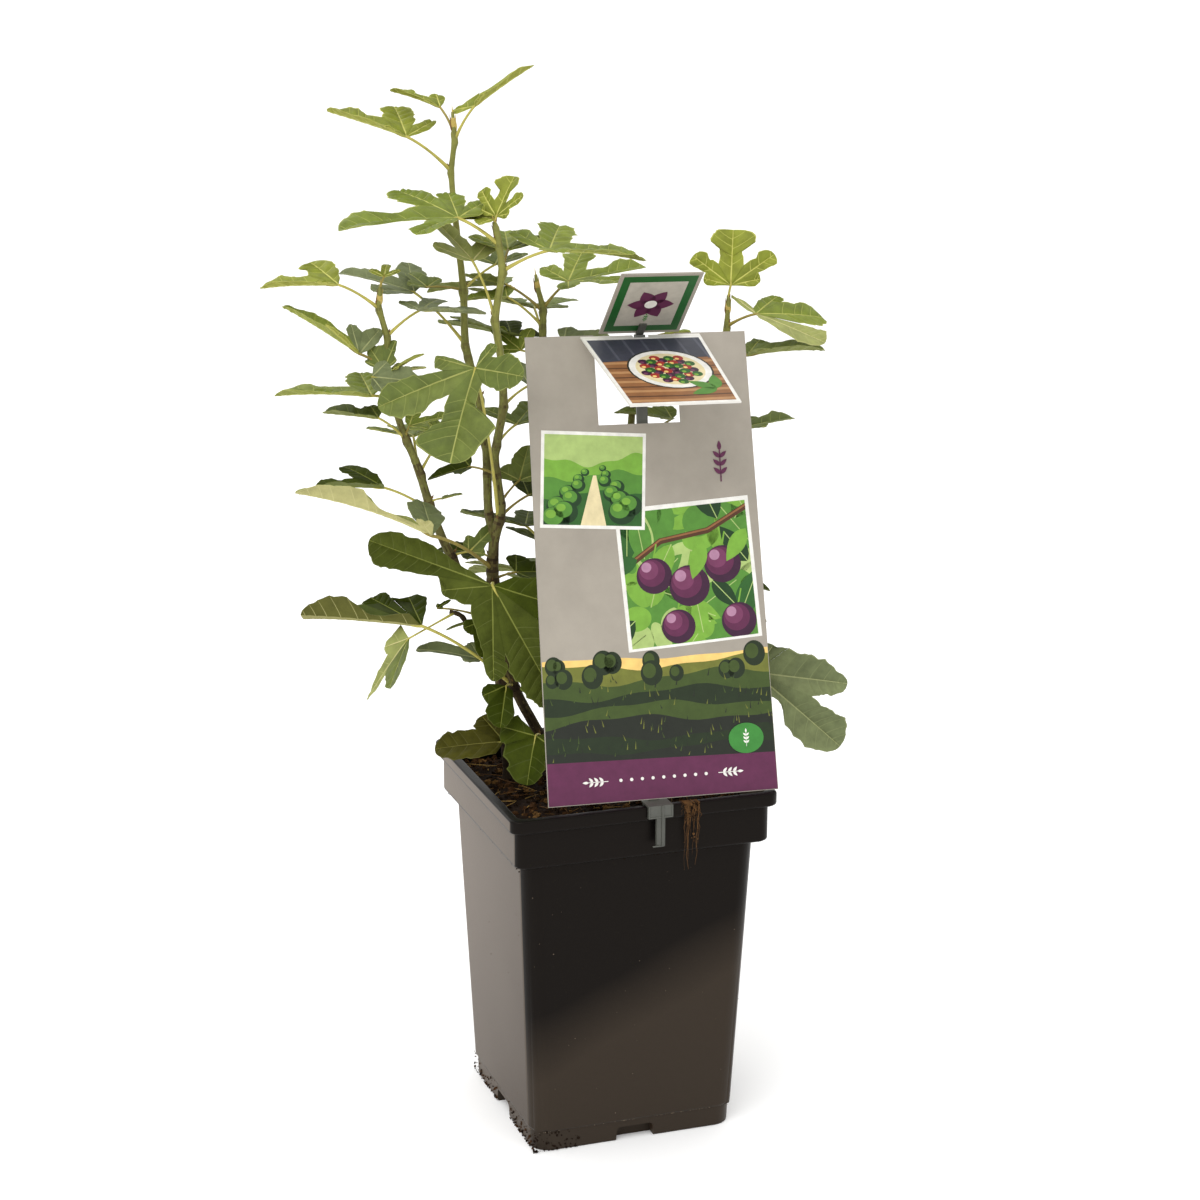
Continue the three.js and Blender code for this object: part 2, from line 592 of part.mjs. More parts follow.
function makeCard() {
  const whole = new THREE.Group();
  const upright = new THREE.Group();
  upright.position.set(...CARD.foot);
  upright.rotation.set(radians(90 - CARD.lean), 0, radians(CARD.yaw), "ZYX");
  const card = new THREE.Group();
  card.rotation.z = radians(CARD.roll);
  upright.add(card);
  whole.add(upright);
  const { window: w, height: h } = CARD;
  card.add(
    mesh(
      "card",
      sheet([
        [-CARD.lower / 2, 0], [CARD.lower / 2, 0], [CARD.upper / 2, h], [w.right, h],
        [w.right, w.sill], [w.left, w.sill], [w.left, h], [-CARD.upper / 2, h],
      ]),
      "card",
    ),
  );

  const plateFoot = [PLATE.middle, h + FOLD, FOLD];
  const plate = mesh(
    "card_plate",
    sheet([
      [-PLATE.width / 2, 0], [PLATE.width / 2, 0],
      [PLATE.width / 2, PLATE.length], [-PLATE.width / 2, PLATE.length],
    ]),
    "card",
  );
  plate.position.set(...plateFoot);
  plate.rotation.x = radians(PLATE.tilt);

  const flap = mesh(
    "card_flap",
    sheet([
      [-FLAP.top / 2, 0], [-FLAP.slot / 2, 0], [-FLAP.slot / 2, FLAP.slot], [FLAP.slot / 2, FLAP.slot],
      [FLAP.slot / 2, 0], [FLAP.top / 2, 0], [FLAP.bottom / 2, FLAP.length], [-FLAP.bottom / 2, FLAP.length],
    ]),
    "card",
  );
  flap.position.set(FLAP.middle, h - FOLD, FOLD);
  flap.rotation.x = radians(FLAP.tilt);
  card.add(plate, flap);

  // The holder: a strip up the card's back with a hook through the window, and a clip over the rim.
  const back = -CARD.thick / 2 - CLEAR;
  const ahead = CARD.thick / 2 + CLEAR;
  const half = HOLDER.width / 2;
  const strip = box([-half, -1, back - HOLDER.thick], [half, h, back]);
  strip.rotateZ(radians(HOLDER.turn)).translate(HOLDER.foot, 0, 0);
  const neck = box(
    [PLATE.middle - NECK.width / 2, h - NECK.below, back - 1],
    [PLATE.middle + NECK.width / 2, h - NECK.gap, NECK.ahead],
  );
  const hook = box([-NECK.width / 2, -HOOK.sink, ahead], [NECK.width / 2, HOOK.length, ahead + HOOK.thick]);
  const folded = new THREE.Matrix4().makeRotationX(radians(PLATE.tilt)).setPosition(...plateFoot);
  hook.applyMatrix4(folded);
  upright.updateMatrixWorld(true);
  const onCard = [strip, neck, hook].map((g) => solid(g.applyMatrix4(card.matrixWorld)));

  const middle = CARD.foot[0] + HOLDER.foot;
  const rim = POT_HEIGHT + CLEAR;
  const front = -RIM_HALF - CLEAR;
  const inner = -BAND_HALF + WALL + CLEAR;
  const [near, far] = [middle - CLIP.width / 2, middle + CLIP.width / 2];
  const clip = [
    box([near, front - CLIP.leg, rim], [far, CARD.foot[1] + CLIP.shelf, rim + CLIP.thick]),
    box([near, front - CLIP.leg, rim - CLIP.outer], [far, front, rim + CLIP.thick]),
    box([middle - CLIP.prong / 2, front - CLIP.leg, rim - CLIP.drop], [middle + CLIP.prong / 2, front, rim]),
    box([near, inner, rim - CLIP.inner], [far, inner + CLIP.leg, rim + CLIP.thick]),
  ].map(solid);
  whole.add(mesh("card_holder", geometryOf(wasm.Manifold.union([...onCard, ...clip])), "clip"));
  return whole;
}

const fig = new THREE.Group();
fig.add(makePot(), makeSoil(), plant, makeCard());
export default fig;
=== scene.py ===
"""A young fig bush in a square nursery pot, with a picture card clipped to the pot's rim.

Sizes are in millimetres until a mesh is made. The bush has its own axes: x right, y back, z up, turned
PLANT_TURN degrees in the pot. It grows here by the same rule as its solids, with finer leaves and stems.
"""
import math

import bmesh
import bpy
import numpy as np
from mathutils import Matrix, Vector, noise


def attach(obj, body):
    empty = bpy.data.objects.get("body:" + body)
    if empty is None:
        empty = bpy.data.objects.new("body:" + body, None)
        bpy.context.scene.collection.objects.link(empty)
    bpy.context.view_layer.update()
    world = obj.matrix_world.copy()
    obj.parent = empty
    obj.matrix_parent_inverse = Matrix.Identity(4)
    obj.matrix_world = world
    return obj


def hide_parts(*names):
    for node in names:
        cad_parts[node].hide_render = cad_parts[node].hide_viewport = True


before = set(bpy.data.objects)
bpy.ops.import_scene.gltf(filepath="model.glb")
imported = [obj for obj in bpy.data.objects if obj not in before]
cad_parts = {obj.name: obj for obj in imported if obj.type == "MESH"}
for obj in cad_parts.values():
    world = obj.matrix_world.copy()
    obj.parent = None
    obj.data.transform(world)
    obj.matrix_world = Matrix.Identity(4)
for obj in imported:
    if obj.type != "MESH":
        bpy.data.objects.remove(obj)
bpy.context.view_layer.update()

MM = 0.001


def new_object(name, data):
    thing = bpy.data.objects.new(name, data)
    bpy.context.scene.collection.objects.link(thing)
    return thing


# ---------------------------------------------------------------- camera
SENSOR = 36
LENS = 80.64
CAMERA_AT = (-470.8, -1340.9, 678.5)
CAMERA_TURN = -19.3  # degrees round the pot from its front
CAMERA_RISE = 15.1
CAMERA_ROLL = 0.19


def make_camera():
    turn, rise, roll = (math.radians(a) for a in (CAMERA_TURN, CAMERA_RISE, CAMERA_ROLL))
    back = Vector((math.sin(turn) * math.cos(rise), -math.cos(turn) * math.cos(rise), math.sin(rise)))
    right = Matrix.Rotation(roll, 3, back) @ Vector((math.cos(turn), math.sin(turn), 0))
    up = back.cross(right)
    camera = new_object("camera", bpy.data.cameras.new("camera"))
    camera.data.sensor_width = SENSOR
    camera.data.lens = LENS
    axes = [[right[i], up[i], back[i], CAMERA_AT[i] * MM] for i in range(3)]
    camera.matrix_world = Matrix(axes + [[0, 0, 0, 1]])
    bpy.context.scene.camera = camera


make_camera()

# ---------------------------------------------------------------- sizes of the pot and the bush
POT_HEIGHT = 200
RIM_HALF = 75.8
RIM_LIP = 7
BAND_HALF = 72.2
BAND_DEPTH = 28
BAND_FOOT = POT_HEIGHT - BAND_DEPTH
BODY_TOP_HALF = 66.8
BODY_FOOT_HALF = 59.2
FOOT_STEP = 12
CORNER = 6
WALL = 1.8
FLOOR = 3
NOTCH_WIDTH, NOTCH_HEIGHT, NOTCH_DEPTH = 21.5, 8, 9
SOIL_TOP = 190
SOIL_SETTLED = 4  # how far the soil has sunk at the walls
GROUND = SOIL_TOP + 0.3
PLANT_TURN = -19

LEAF_DROOP = 0.07
LEAF_FOLD = 0.15
LEAF_CUP = 0.22
# Where the margin meets a leaf's foot: degrees before its first lobe and after its last one, and depth.
LEAF_EAR = (38, 38, 0.2)
GOLDEN = 137.5  # degrees from one leaf, or berry, to the next

# Each shoot's course: points [right, back, up, radius].
COURSE = {
    "main": [
        [-50, 8, GROUND, 6.2], [-51, 8, 196, 4.2], [-54, 7, 225, 3.6], [-57, 5, 265, 3.4],
        [-60, 2, 303, 3.2], [-59, 0, 328, 2.9], [-55, -2, 345, 2.6], [-58, -5, 376, 2.3],
        [-53, -10, 405, 2.3], [-54, -13, 430, 2.1], [-57, -15, 452, 2], [-53, -18, 478, 1.9],
        [-55, -20, 496, 1.7], [-57, -20, 504, 1],
    ],
    "tall": [
        [-59, 0, 326, 2.4], [-62, 3, 345, 2.4], [-63, 5, 380, 2.3], [-67, 8, 407, 2.2],
        [-74, 12, 434, 2.1], [-75, 16, 463, 1.9], [-80, 19, 511, 1.6], [-81, 20, 526, 1.6],
        [-79, 20, 543, 1.4], [-80, 20, 557, 0.8],
    ],
    "left": [
        [-22, -3, GROUND, 5.2], [-25, -4, 197, 3.4], [-34, -7, 219, 3], [-45, -9, 241, 2.8],
        [-54, -10, 264, 2.7], [-64, -10, 287, 2.6], [-75, -10, 308, 2.5], [-86, -10, 331, 2.4],
        [-93, -10, 350, 2.3], [-99, -10, 371, 2.2], [-108, -12, 395, 1.9], [-112, -13, 411, 1.8],
        [-115, -15, 430, 1.7], [-114, -16, 442, 1.6], [-118, -17, 459, 1.5], [-117, -18, 470, 0.8],
    ],
    "back": [
        [-24, 24, GROUND, 4.6], [-25, 25, 197, 3], [-27, 32, 260, 2.7], [-29, 40, 320, 2.5],
        [-32, 50, 380, 2.3], [-33, 58, 425, 2], [-33, 60, 446, 1.7], [-36, 60, 458, 1.4],
        [-37, 60, 465, 0.8],
    ],
    "middle": [
        [-5, 20, GROUND, 4.4], [-4, 21, 197, 2.9], [2, 27, 260, 2.6], [10, 35, 330, 2.3],
        [16, 42, 385, 2], [18, 46, 420, 1.6], [19, 47, 436, 0.8],
    ],
    "right": [
        [6, 6, GROUND, 4.8], [8, 7, 197, 3.1], [20, 14, 240, 2.8], [36, 24, 290, 2.6], [52, 33, 345, 2.4],
        [63, 40, 399, 2.2], [68, 44, 436, 1.8], [69, 45, 456, 0.9],
    ],
    "low": [
        [2, -16, GROUND, 4.2], [5, -15, 197, 2.7], [18, -8, 225, 2.4], [36, 0, 255, 2], [48, 6, 285, 1.7],
        [54, 9, 312, 0.8],
    ],
}


def even(middle, *pairs):
    """The lobes of an even leaf, from its middle one and the left one of each pair."""
    return [[-pair[0], *pair[1:]] for pair in reversed(pairs)] + [middle, *pairs]


def form(half, blunt, lobes, bays, ear=LEAF_EAR, droop=LEAF_DROOP):
    """A leaf's outline.

    A lobe is [bearing, reach, half width, neck's half width, bluntness, where it is widest] as far as given;
    half and blunt stand in for a missing half width and bluntness. Where a lobe gives two numbers for one,
    they are for its right and left side. The bays between the lobes are [bearing, depth], or one number
    for the depth of all.
    """
    if not isinstance(bays, list):
        bays = [((a[0] + b[0]) / 2, bays * (a[1] + b[1]) / 2) for a, b in zip(lobes, lobes[1:])]
    first, last = (lobes[0][0] - ear[0], ear[2]), (lobes[-1][0] + ear[1], ear[2])
    return {"half": half, "blunt": blunt, "lobes": lobes, "bays": [first, *bays, last], "droop": droop}


SHAPES = {
    "five": form(0.21, 2.6, even([0, 1, 0.26, 0.15, 3.6], [56, 0.84, 0.24, 0.15, 3.4], [110, 0.48]), 0.36),
    "deep": form(0.22, 3.2, even([0, 1, 0.27, 0.13, 4.4], [58, 0.84, 0.27, 0.13, 4], [114, 0.42]), 0.28),
    "spread": form(
        0.22, 3, [
            [-128, 0.5, 0.12], [-90, 0.6, 0.16, None, 3], [-60, 0.86, [0.15, 0.25], None, 4],
            [0, 1, [0.28, 0.3], 0.13, 6], [56, 0.78, 0.17, 0.1, 3.4],
        ],
        [[-110, 0.26], [-76, 0.44], [-37, 0.38], [32, 0.34]], ear=(48, 24, 0.18),
    ),
    "fan": form(
        0.31, 3.6,
        even([0, 1, 0.41, 0.19, 7], [54, 0.92, 0.22, 0.15, 5], [80, 0.5, 0.17]),
        [[-66, 0.46], [-31, 0.4], [31, 0.42], [66, 0.46]], ear=(16, 16, 0.2),
    ),
    "three": form(0.21, 2.6, even([0, 1, 0.24, 0.17, 3], [62, 0.72, 0.24]), 0.38),
    "plain": form(0.28, 2, even([0, 1], [70, 0.55]), 0.6),
    "slim": form(0.2, 2, even([0, 1, 0.2], [50, 0.36, 0.14]), 0.5),
    "blade": form(
        0.2, 2.6,
        [[-44, 0.5, 0.18], [0, 1, 0.24, 0.13, 2.8], [40, 0.3, 0.1]],
        [[-26, 0.34], [22, 0.26]], ear=(30, 24, 0.16),
    ),
    "dart": form(
        0.2, 2.4,
        [[-50, 0.3, 0.12], [0, 1, 0.2, 0.13, 2.6], [126, 0.44, 0.14]],
        [[-26, 0.3], [44, 0.26]], ear=(30, 24, 0.16),
    ),
    "shield": form(
        0.3, 3,
        [[-62, 0.57, 0.26, None, 3], [-6, 0.95, [0.36, 0.29], None, 3.2]],
        [[-40, 0.58]], ear=(34, 56, 0.2),
    ),
    "broad": form(
        0.3, 3,
        [[-100, 0.67, 0.33, None, 3], [0, 0.9, [0.46, 0.4], None, 2.8], [62, 0.7, 0.3]],
        [[-64, 0.54], [34, 0.6]], ear=(36, 36, 0.25),
    ),
    "lopsided": form(
        0.25, 3.4, [
            [-90, 0.42, [0.07, 0.17], None, 3], [-52.5, 1.06, [0.18, 0.235], None, 4.6],
            [0, 1.02, [0.43, 0.46], [0.17, 0.125], [7, 3.5], [0.8, 0.57]], [84, 0.585, 0.27, None, 3],
            [152, 0.32, 0.11],
        ],
        [[-69, 0.33], [-26, 0.39], [40, 0.22], [131, 0.2]], ear=(12, 24, 0.16),
    ),
    "apron": form(
        0.24, 2.6, [
            [-139, 1.05, [0.17, 0.23], None, 3.4, [0.7, 0.56]], [-113, 0.41, 0.14],
            [-28, 0.77, [0.12, 0.14], None, 2.8], [0, 1.1, [0.22, 0.26], None, 3.2], [44, 0.6],
        ],
        [[-128, 0.44], [-76, 0.23], [-18.3, 0.56], [24, 0.5]], ear=(14, 38, 0.2),
    ),
    "paddle": form(
        0.2, 3,
        [[-68, 0.4, 0.24, None, 2.2], [1, 1.01, [0.19, 0.2], 0.05, 4, [0.5, 0.62]], [44, 0.2, 0.1]],
        [[-26, 0.2], [24, 0.12]], ear=(32, 30, 0.14), droop=0.22,
    ),
    "mitten": form(
        0.2, 3,
        [[-52, 0.52, 0.24, None, 3], [4, 0.96, [0.26, 0.37], None, 3.4]],
        [[-26, 0.43]], ear=(44, 66, 0.28),
    ),
    "half": form(
        0.2, 2.6, [
            [-92, 0.6, 0.11, None, 2.4], [-50, 0.82, [0.24, 0.26], 0.17, 3.6], [0, 1, 0.26, 0.17, 2.8],
            [46, 0.3, 0.1],
        ],
        [[-72, 0.3], [-24, 0.48], [24, 0.3]], ear=(20, 30, 0.16),
    ),
    "quarter": form(
        0.2, 2.6,
        [[-50, 0.82, [0.24, 0.26], 0.17, 3.6], [0, 1, 0.26, 0.17, 2.8], [46, 0.3, 0.1]],
        [[-24, 0.48], [24, 0.3]], ear=(34, 30, 0.16),
    ),
    "folded": form(
        0.22, 3, [
            [-58, 0.47, 0.24, None, 2.4], [-31, 0.65, [0.15, 0.14], None, 2.8],
            [0, 1, [0.11, 0.22], [0.1, 0.05], 3, [0.7, 0.68]],
        ],
        [[-42, 0.46], [-19, 0.6]], ear=(20, 40, 0.14),
    ),
    "crown": form(
        0.31, 3.6, [
            [-80, 0.5, 0.17], [-54, 0.88, 0.22, 0.15, 5], [0, 1, 0.41, 0.19, 7], [54, 0.8, 0.22, 0.15, 5],
            [80, 0.46, 0.17],
        ],
        [[-66, 0.46], [-31, 0.4], [31, 0.42], [66, 0.42]], ear=(16, 16, 0.2),
    ),
    "palm": form(
        0.28, 3, [
            [-33, 0.93, [0.34, 0.31], None, 4.5], [11, 1.0, [0.28, 0.26], None, 5],
            [50, 0.7, [0.14, 0.15], None, 3], [118, 0.46, 0.07],
        ],
        [[-16.5, 0.56], [38, 0.54], [92, 0.13]], ear=(58, 34, 0.12),
    ),
    "tuft": form(
        0.2, 3, [
            [-52, 0.5, 0.1], [-22, 1, [0.1, 0.2], None, 3.4], [33, 0.82, [0.22, 0.2], None, 3.6],
            [68, 0.64, 0.1],
        ],
        [[-36, 0.54], [4, 0.78], [52, 0.56]], ear=(24, 24, 0.12),
    ),
    "horned": form(
        0.2, 2.6,
        [[-88, 0.44, 0.13, None, 3], [-42, 0.4, 0.1], [0, 1, [0.13, 0.15], None, 3], [46, 0.56, 0.13]],
        [[-62, 0.29], [-26, 0.24], [26, 0.42]], ear=(30, 40, 0.1),
    ),
    "oval": form(0.3, 2.4, even([0, 1, 0.33, None, 2.4], [52, 0.46, 0.2]), 0.6),
    "tail": form(0.3, 2.4, even([0, 1, 0.28, None, 1.3], [52, 0.4, 0.18]), 0.56, droop=0.2),
    "wing": form(
        0.24, 3, [
            [5, 0.97, [0.24, 0.19], [0.05, None], [3.4, 7], [0.56, 0.7]],
            [38, 0.8, [0.12, 0.28], None, [6, 0.9]], [100, 0.28, 0.12],
        ],
        [[22, 0.53], [80, 0.35]], ear=(70, 40, 0.16),
    ),
    "twin": form(
        0.22, 2.6,
        [[-34, 0.44, 0.14], [0, 0.97, [0.08, 0.08], None, 2.6], [42, 0.64, [0.27, 0.34], None, 3.4]],
        [[-18, 0.38], [9.5, 0.44]], ear=(60, 50, 0.22),
    ),
}

# A leaf: [height on the shoot, bearing, rise and length of its stalk, heading, pitch, roll and length of its
# blade, shape, how far it is cupped if not by LEAF_CUP].
LEAVES = {
    "foliage_tall": [
        [434, 160, 42, 40, 166, 17, -8, 43, "three"],
        [463, 28, 33, 23, 80, 18, 0, 26, "three"],
        [463, 172, 3, 20, 125, 20, -4, 20, "plain"],
        [526, -168, 38, 30, 157, 17, -3, 48, "half"],
        [546, 147, 55, 16, 149, 18, -3, 32, "blade"],
        [542, -24, 57, 22, 12, 37, 3, 38, "dart"],
    ],
    "foliage_front_top": [
        [405, 48, 22, 22, 48, 5, 10, 36, "three"],
        [452, 157, 67, 33, 134, 34, 0, 33, "three"],
        [478, 7, 23, 27, 29, -4, 5, 58, "five"],
        [478, 80, 30, 18, 95, 15, 0, 32, "three"],
        [492, -168, 34, 26, -169, 1, -8, 62, "spread", 0.14],
        [500, 118, 67, 6, 160, 2, -20, 22, "plain"],
        [502, -60, 73, 5, 40, 62, 0, 23.5, "fan"],
    ],
    "foliage_front_low": [
        [339, -103, 64, 103, -117, -55, -6, 51, "lopsided"],
        [342, 40, 25, 22, 40, 6, 5, 38, "three"],
        [350, 55, 28, 20, 75, 45, 0, 24, "plain"],
        [366, -160, 20, 16, 178, -14, -10, 24, "plain"],
        [383, 60, 20, 22, 75, 10, 0, 36, "three"],
    ],
    "foliage_left_top": [
        [403, 110, 30, 15, 100, 5, 0, 32, "three"],
        [411, -112, 59, 18, 92, 65, 0, 17, "tuft"],
        [411, -84, 62, 16.5, 5, 34, 0, 19, "slim"],
        [408, -131, 17, 17, 166, 2, 2, 54, "three"],
        [424, -142, 33, 21, 165, 32, 6, 48, "horned"],
        [443, 33, 31, 24, 17, -3, -2, 36, "five"],
        [458, -158, 32, 26, 170, 0, -8, 42, "quarter"],
        [468, -40, 66, 8, 86, 26, 0, 13, "three"],
        [409, -130, 42, 21, -3, -4, 50, 25, "oval"],
        [409, -50, 63, 18.5, 8, 8, 8, 13, "slim"],
    ],
    "foliage_left_mid": [
        [347, -169, 29, 29, -166, 8, -6, 37, "quarter"],
        [368, 35, 50, 24, 60, 25, 0, 28, "three"],
        [372, 100, 35, 22, 110, 0, 0, 36, "three"],
        [386, -149, 40, 22, 164, 4, -8, 31, "oval"],
        [388, -70, 45, 10, 12, 17, 12, 24, "three"],
        [352, -20, 20, 8, -10, 20, 0, 12, "slim"],
    ],
    "foliage_left_low": [
        [219, -95, 18, 24, -108, -52, 12, 31, "broad"],
        [216, -164, 4, 22, 178, -2, -34, 40, "mitten"],
        [248, -162, 37, 65, 165, 3, 9, 68, "folded"],
        [249, -110, 15, 12, -92, -56, 0, 25, "shield"],
        [265, 172, -8, 12, 176, 13, -24, 36, "slim"],
        [283, -161, -4, 45, 165, -53, -38, 46, "twin"],
        [285, 176, 6, 8, -168, -14, 20, 15, "slim"],
        [288, 170, 8, 26, 30, 26, 20, 9, "slim"],
        [286, -110, 10, 6, -80, -62, 0, 20, "plain"],
        [322, 20, 10, 10, 28, 38, 68, 25, "slim"],
    ],
    "foliage_back": [
        [418, 165, 20, 14, 140, 28, -20, 24, "three"],
        [426, 10, 12, 12, 12, 6, 10, 26, "plain"],
        [436, 180, 40, 26, 165, -2, -6, 28, "plain"],
        [446, -19, 47, 22, 20, 9, 8, 46, "five"],
    ],
    "foliage_right": [
        [399, 0, -46, 22, 22, 9, 4, 31, "oval"],
        [432, -7, -36, 15, 6, 12, 5, 43, "tail"],
        [439, -31, 25, 20, 17, -8, 22, 44, "palm", 0.03],
        [453, -50, 78, 9, 84, 62, 0, 33, "crown"],
    ],
    "foliage_middle": [
        [432, -30, 60, 8, 20, 45, 0, 18, "three"],
        [366, -12, 43, 34, 175, 10, 0, 32, "plain"],
        [428, -30, 24, 20, -6, 10, 0, 14, "three"],
    ],
    "foliage_low_right": [
        [284, 18, -42, 53, -14.5, -43, 60, 66, "wing"],
        [308, 185, 40, 12, 178, 20, 0, 26, "plain"],
        [296, 20, 20, 14, 10, 6, 0, 22, "plain"],
        [270, 165, 15, 18, -172, 4, 0, 30, "plain"],
        [302, 20, 6, 18, 8, -14, 10, 26, "plain"],
        [292, 14, 0, 18, 10, -24, 10, 28, "plain"],
    ],
}

# Leaves that stand in turn round a shoot: how low and how high, how many, the first one's bearing, the
# length of stalk and blade, and the two bearings between which they stand.
TURNS = {
    "foliage_back_low": (266, 318, 4, 20, 22, 40, 60, 150),
    "foliage_right_low": (262, 312, 3, 70, 22, 38, 50, 100),
    "foliage_back": (408, 452, 3, 55, 26, 44, 85, 172),
    "foliage_right": (390, 406.7, 1, 60, 24, 42, 55, 120),
    "foliage_middle": (326, 430, 2, 40, 24, 42, 55, 120),
}
TURN_SHAPES = ("five", "deep", "three")

# The shoot that each spray of leaves stands on.
SPRAYS = {
    "foliage_front_low": "main", "foliage_front_top": "main", "foliage_tall": "tall",
    "foliage_left_low": "left", "foliage_left_mid": "left", "foliage_left_top": "left",
    "foliage_back_low": "back", "foliage_back": "back", "foliage_middle": "middle",
    "foliage_right_low": "right", "foliage_right": "right", "foliage_low_right": "low",
}

TRUNK_LEAVES = {
    "leaf_front_large": [303, -88, 14, 27, -30, -56, 58, 67, "apron"],
    "leaf_left_long": [312, -125, 29, 60, -178, 28, -11, 74, "paddle"],
    "leaf_left_dark": [318, 165, 20, 8, 170, 6, -14, 24, "plain"],
    "leaf_right_dark": [306, 20, 12, 14, 25, -4, 15, 30, "plain"],
}

# Leaves whose left and right halves are folded up along the midrib, in degrees.
FOLDS = {
    ("foliage_tall", 3): (14, 0),
    ("foliage_tall", 4): (16, 0),
    ("foliage_tall", 5): (0, 18),
    ("foliage_front_low", 0): (0, 6),
    ("foliage_left_top", 4): (12, 30),
    ("foliage_left_top", 6): (14, 0),
    ("foliage_left_mid", 0): (20, 0),
    ("foliage_left_mid", 3): (14, 0),
    ("foliage_left_low", 2): (62, 15),
    ("foliage_left_low", 4): (16, 0),
    ("foliage_right", 1): (8, 16),
    ("leaf_left_long", 0): (46, 0),
}
# A dark side twig [right, back, up, radius], and the leaf whose stalk stands on it.
SPUR = [[-72, -9, 279, 1.5], [-76, -9, 289, 1.3], [-83, -10, 291, 1.0]]
ON_SPUR = {("foliage_left_low", 5): (-81, -10, 290)}

# The leaves' colours, in the order of their spray's rows and then of its turned leaves: a letter for each
# leaf, or for each of its lobes. y young, l light, w pale, m middle, g grey-green, n dull, d dark, o olive,
# u dark with an olive underside. Besides each leaf's own colour, the letters carry painted light and shade:
# lighter letters on leaves in the light and darker ones on shaded leaves, w as painted light on leaves that
# others shade, g grey-green as painted sheen on upper sides seen at a slant, and u's underside as painted
# shade.
TONES = {
    "foliage_tall": "gmmyyy",
    "foliage_front_top": "gwlllyy",
    "foliage_front_low": "mdmdm",
    "foliage_left_top": ["m", "m", "y", "l", "ggly", "g", "y", "y", "g", "w"],
    "foliage_left_mid": "dllmlm",
    "foliage_left_low": ["d", "o", "ddu", "d", "g", "wwm", "d", "d", "d", "m"],
    "foliage_back": "lglldmm",
    "foliage_right": ["m", "m", "wllw", "y", "m"],
    "foliage_middle": "lmlmd",
    "foliage_low_right": "gmmddd",
    "foliage_back_low": "dmmd",
    "foliage_right_low": "mdm",
    "leaf_front_large": ["nnnnd"],
    "leaf_left_long": ["gww"],
    "leaf_left_dark": "d",
    "leaf_right_dark": "d",
}


# ---------------------------------------------------------------- finishes
def colour(red, green, blue):
    """A colour given by its usual 0 to 255 values, as Blender wants it."""
    return tuple(c / 12.92 if c <= 0.04045 else ((c + 0.055) / 1.055) ** 2.4
                 for c in (red / 255, green / 255, blue / 255))


def mixed(a, b, share):
    return tuple(p + (q - p) * share for p, q in zip(a, b))


FINISHES = {}


def add_node(nodes, kind, **values):
    """A shader node with values for its inputs, whose names are given with _ for a space."""
    node = nodes.new("ShaderNode" + kind)
    for name, value in values.items():
        node.inputs[name.replace("_", " ")].default_value = value
    return node


def add_ramp(nodes, low_colour, high_colour, ends=(0, 1)):
    ramp = nodes.new("ShaderNodeValToRGB")
    for element, position, rgb in zip(ramp.color_ramp.elements, ends, (low_colour, high_colour)):
        element.position = position
        element.color = (*rgb, 1)
    return ramp


def mottle(nodes, links, place, base, vary, grain):
    """Clouds a colour: darker and lighter by the share vary."""
    cloud = add_node(nodes, "TexNoise", Scale=1 / grain, Detail=5, Roughness=0.6)
    darker, lighter = [c * (1 - vary) for c in base], [min(1, c * (1 + vary)) for c in base]
    ramp = add_ramp(nodes, darker, lighter, (0.3, 0.7))
    links.new(place.outputs["Object"], cloud.inputs["Vector"])
    links.new(cloud.outputs["Fac"], ramp.inputs["Fac"])
    links.new(ramp.outputs["Color"], nodes["Principled BSDF"].inputs["Base Color"])


def roughen(nodes, links, place, relief, grain):
    """Gives a finish a fine relief."""
    cloud = add_node(nodes, "TexNoise", Scale=1 / grain, Detail=3)
    bump = add_node(nodes, "Bump", Strength=0.6, Distance=relief)
    links.new(place.outputs["Object"], cloud.inputs["Vector"])
    links.new(cloud.outputs["Fac"], bump.inputs["Height"])
    links.new(bump.outputs["Normal"], nodes["Principled BSDF"].inputs["Normal"])


def finish(name, rgb, rough, vary, grain, relief=0, relief_grain=0.002, shine=0.5, ior=1.5, tint=(1, 1, 1)):
    """A finish with a mottled colour and a fine relief; the relief and the grain sizes are in metres."""
    material = bpy.data.materials.new(name)
    material.use_nodes = True
    nodes, links = material.node_tree.nodes, material.node_tree.links
    shader = nodes["Principled BSDF"]
    shader.inputs["Roughness"].default_value = rough
    shader.inputs["Specular IOR Level"].default_value = shine
    shader.inputs["IOR"].default_value = ior
    shader.inputs["Specular Tint"].default_value = (*tint, 1)
    base = colour(*rgb)
    shader.inputs["Base Color"].default_value = (*base, 1)
    place = nodes.new("ShaderNodeTexCoord")
    mottle(nodes, links, place, base, vary, grain)
    if relief:
        roughen(nodes, links, place, relief, relief_grain)
    FINISHES[name] = material
    return material
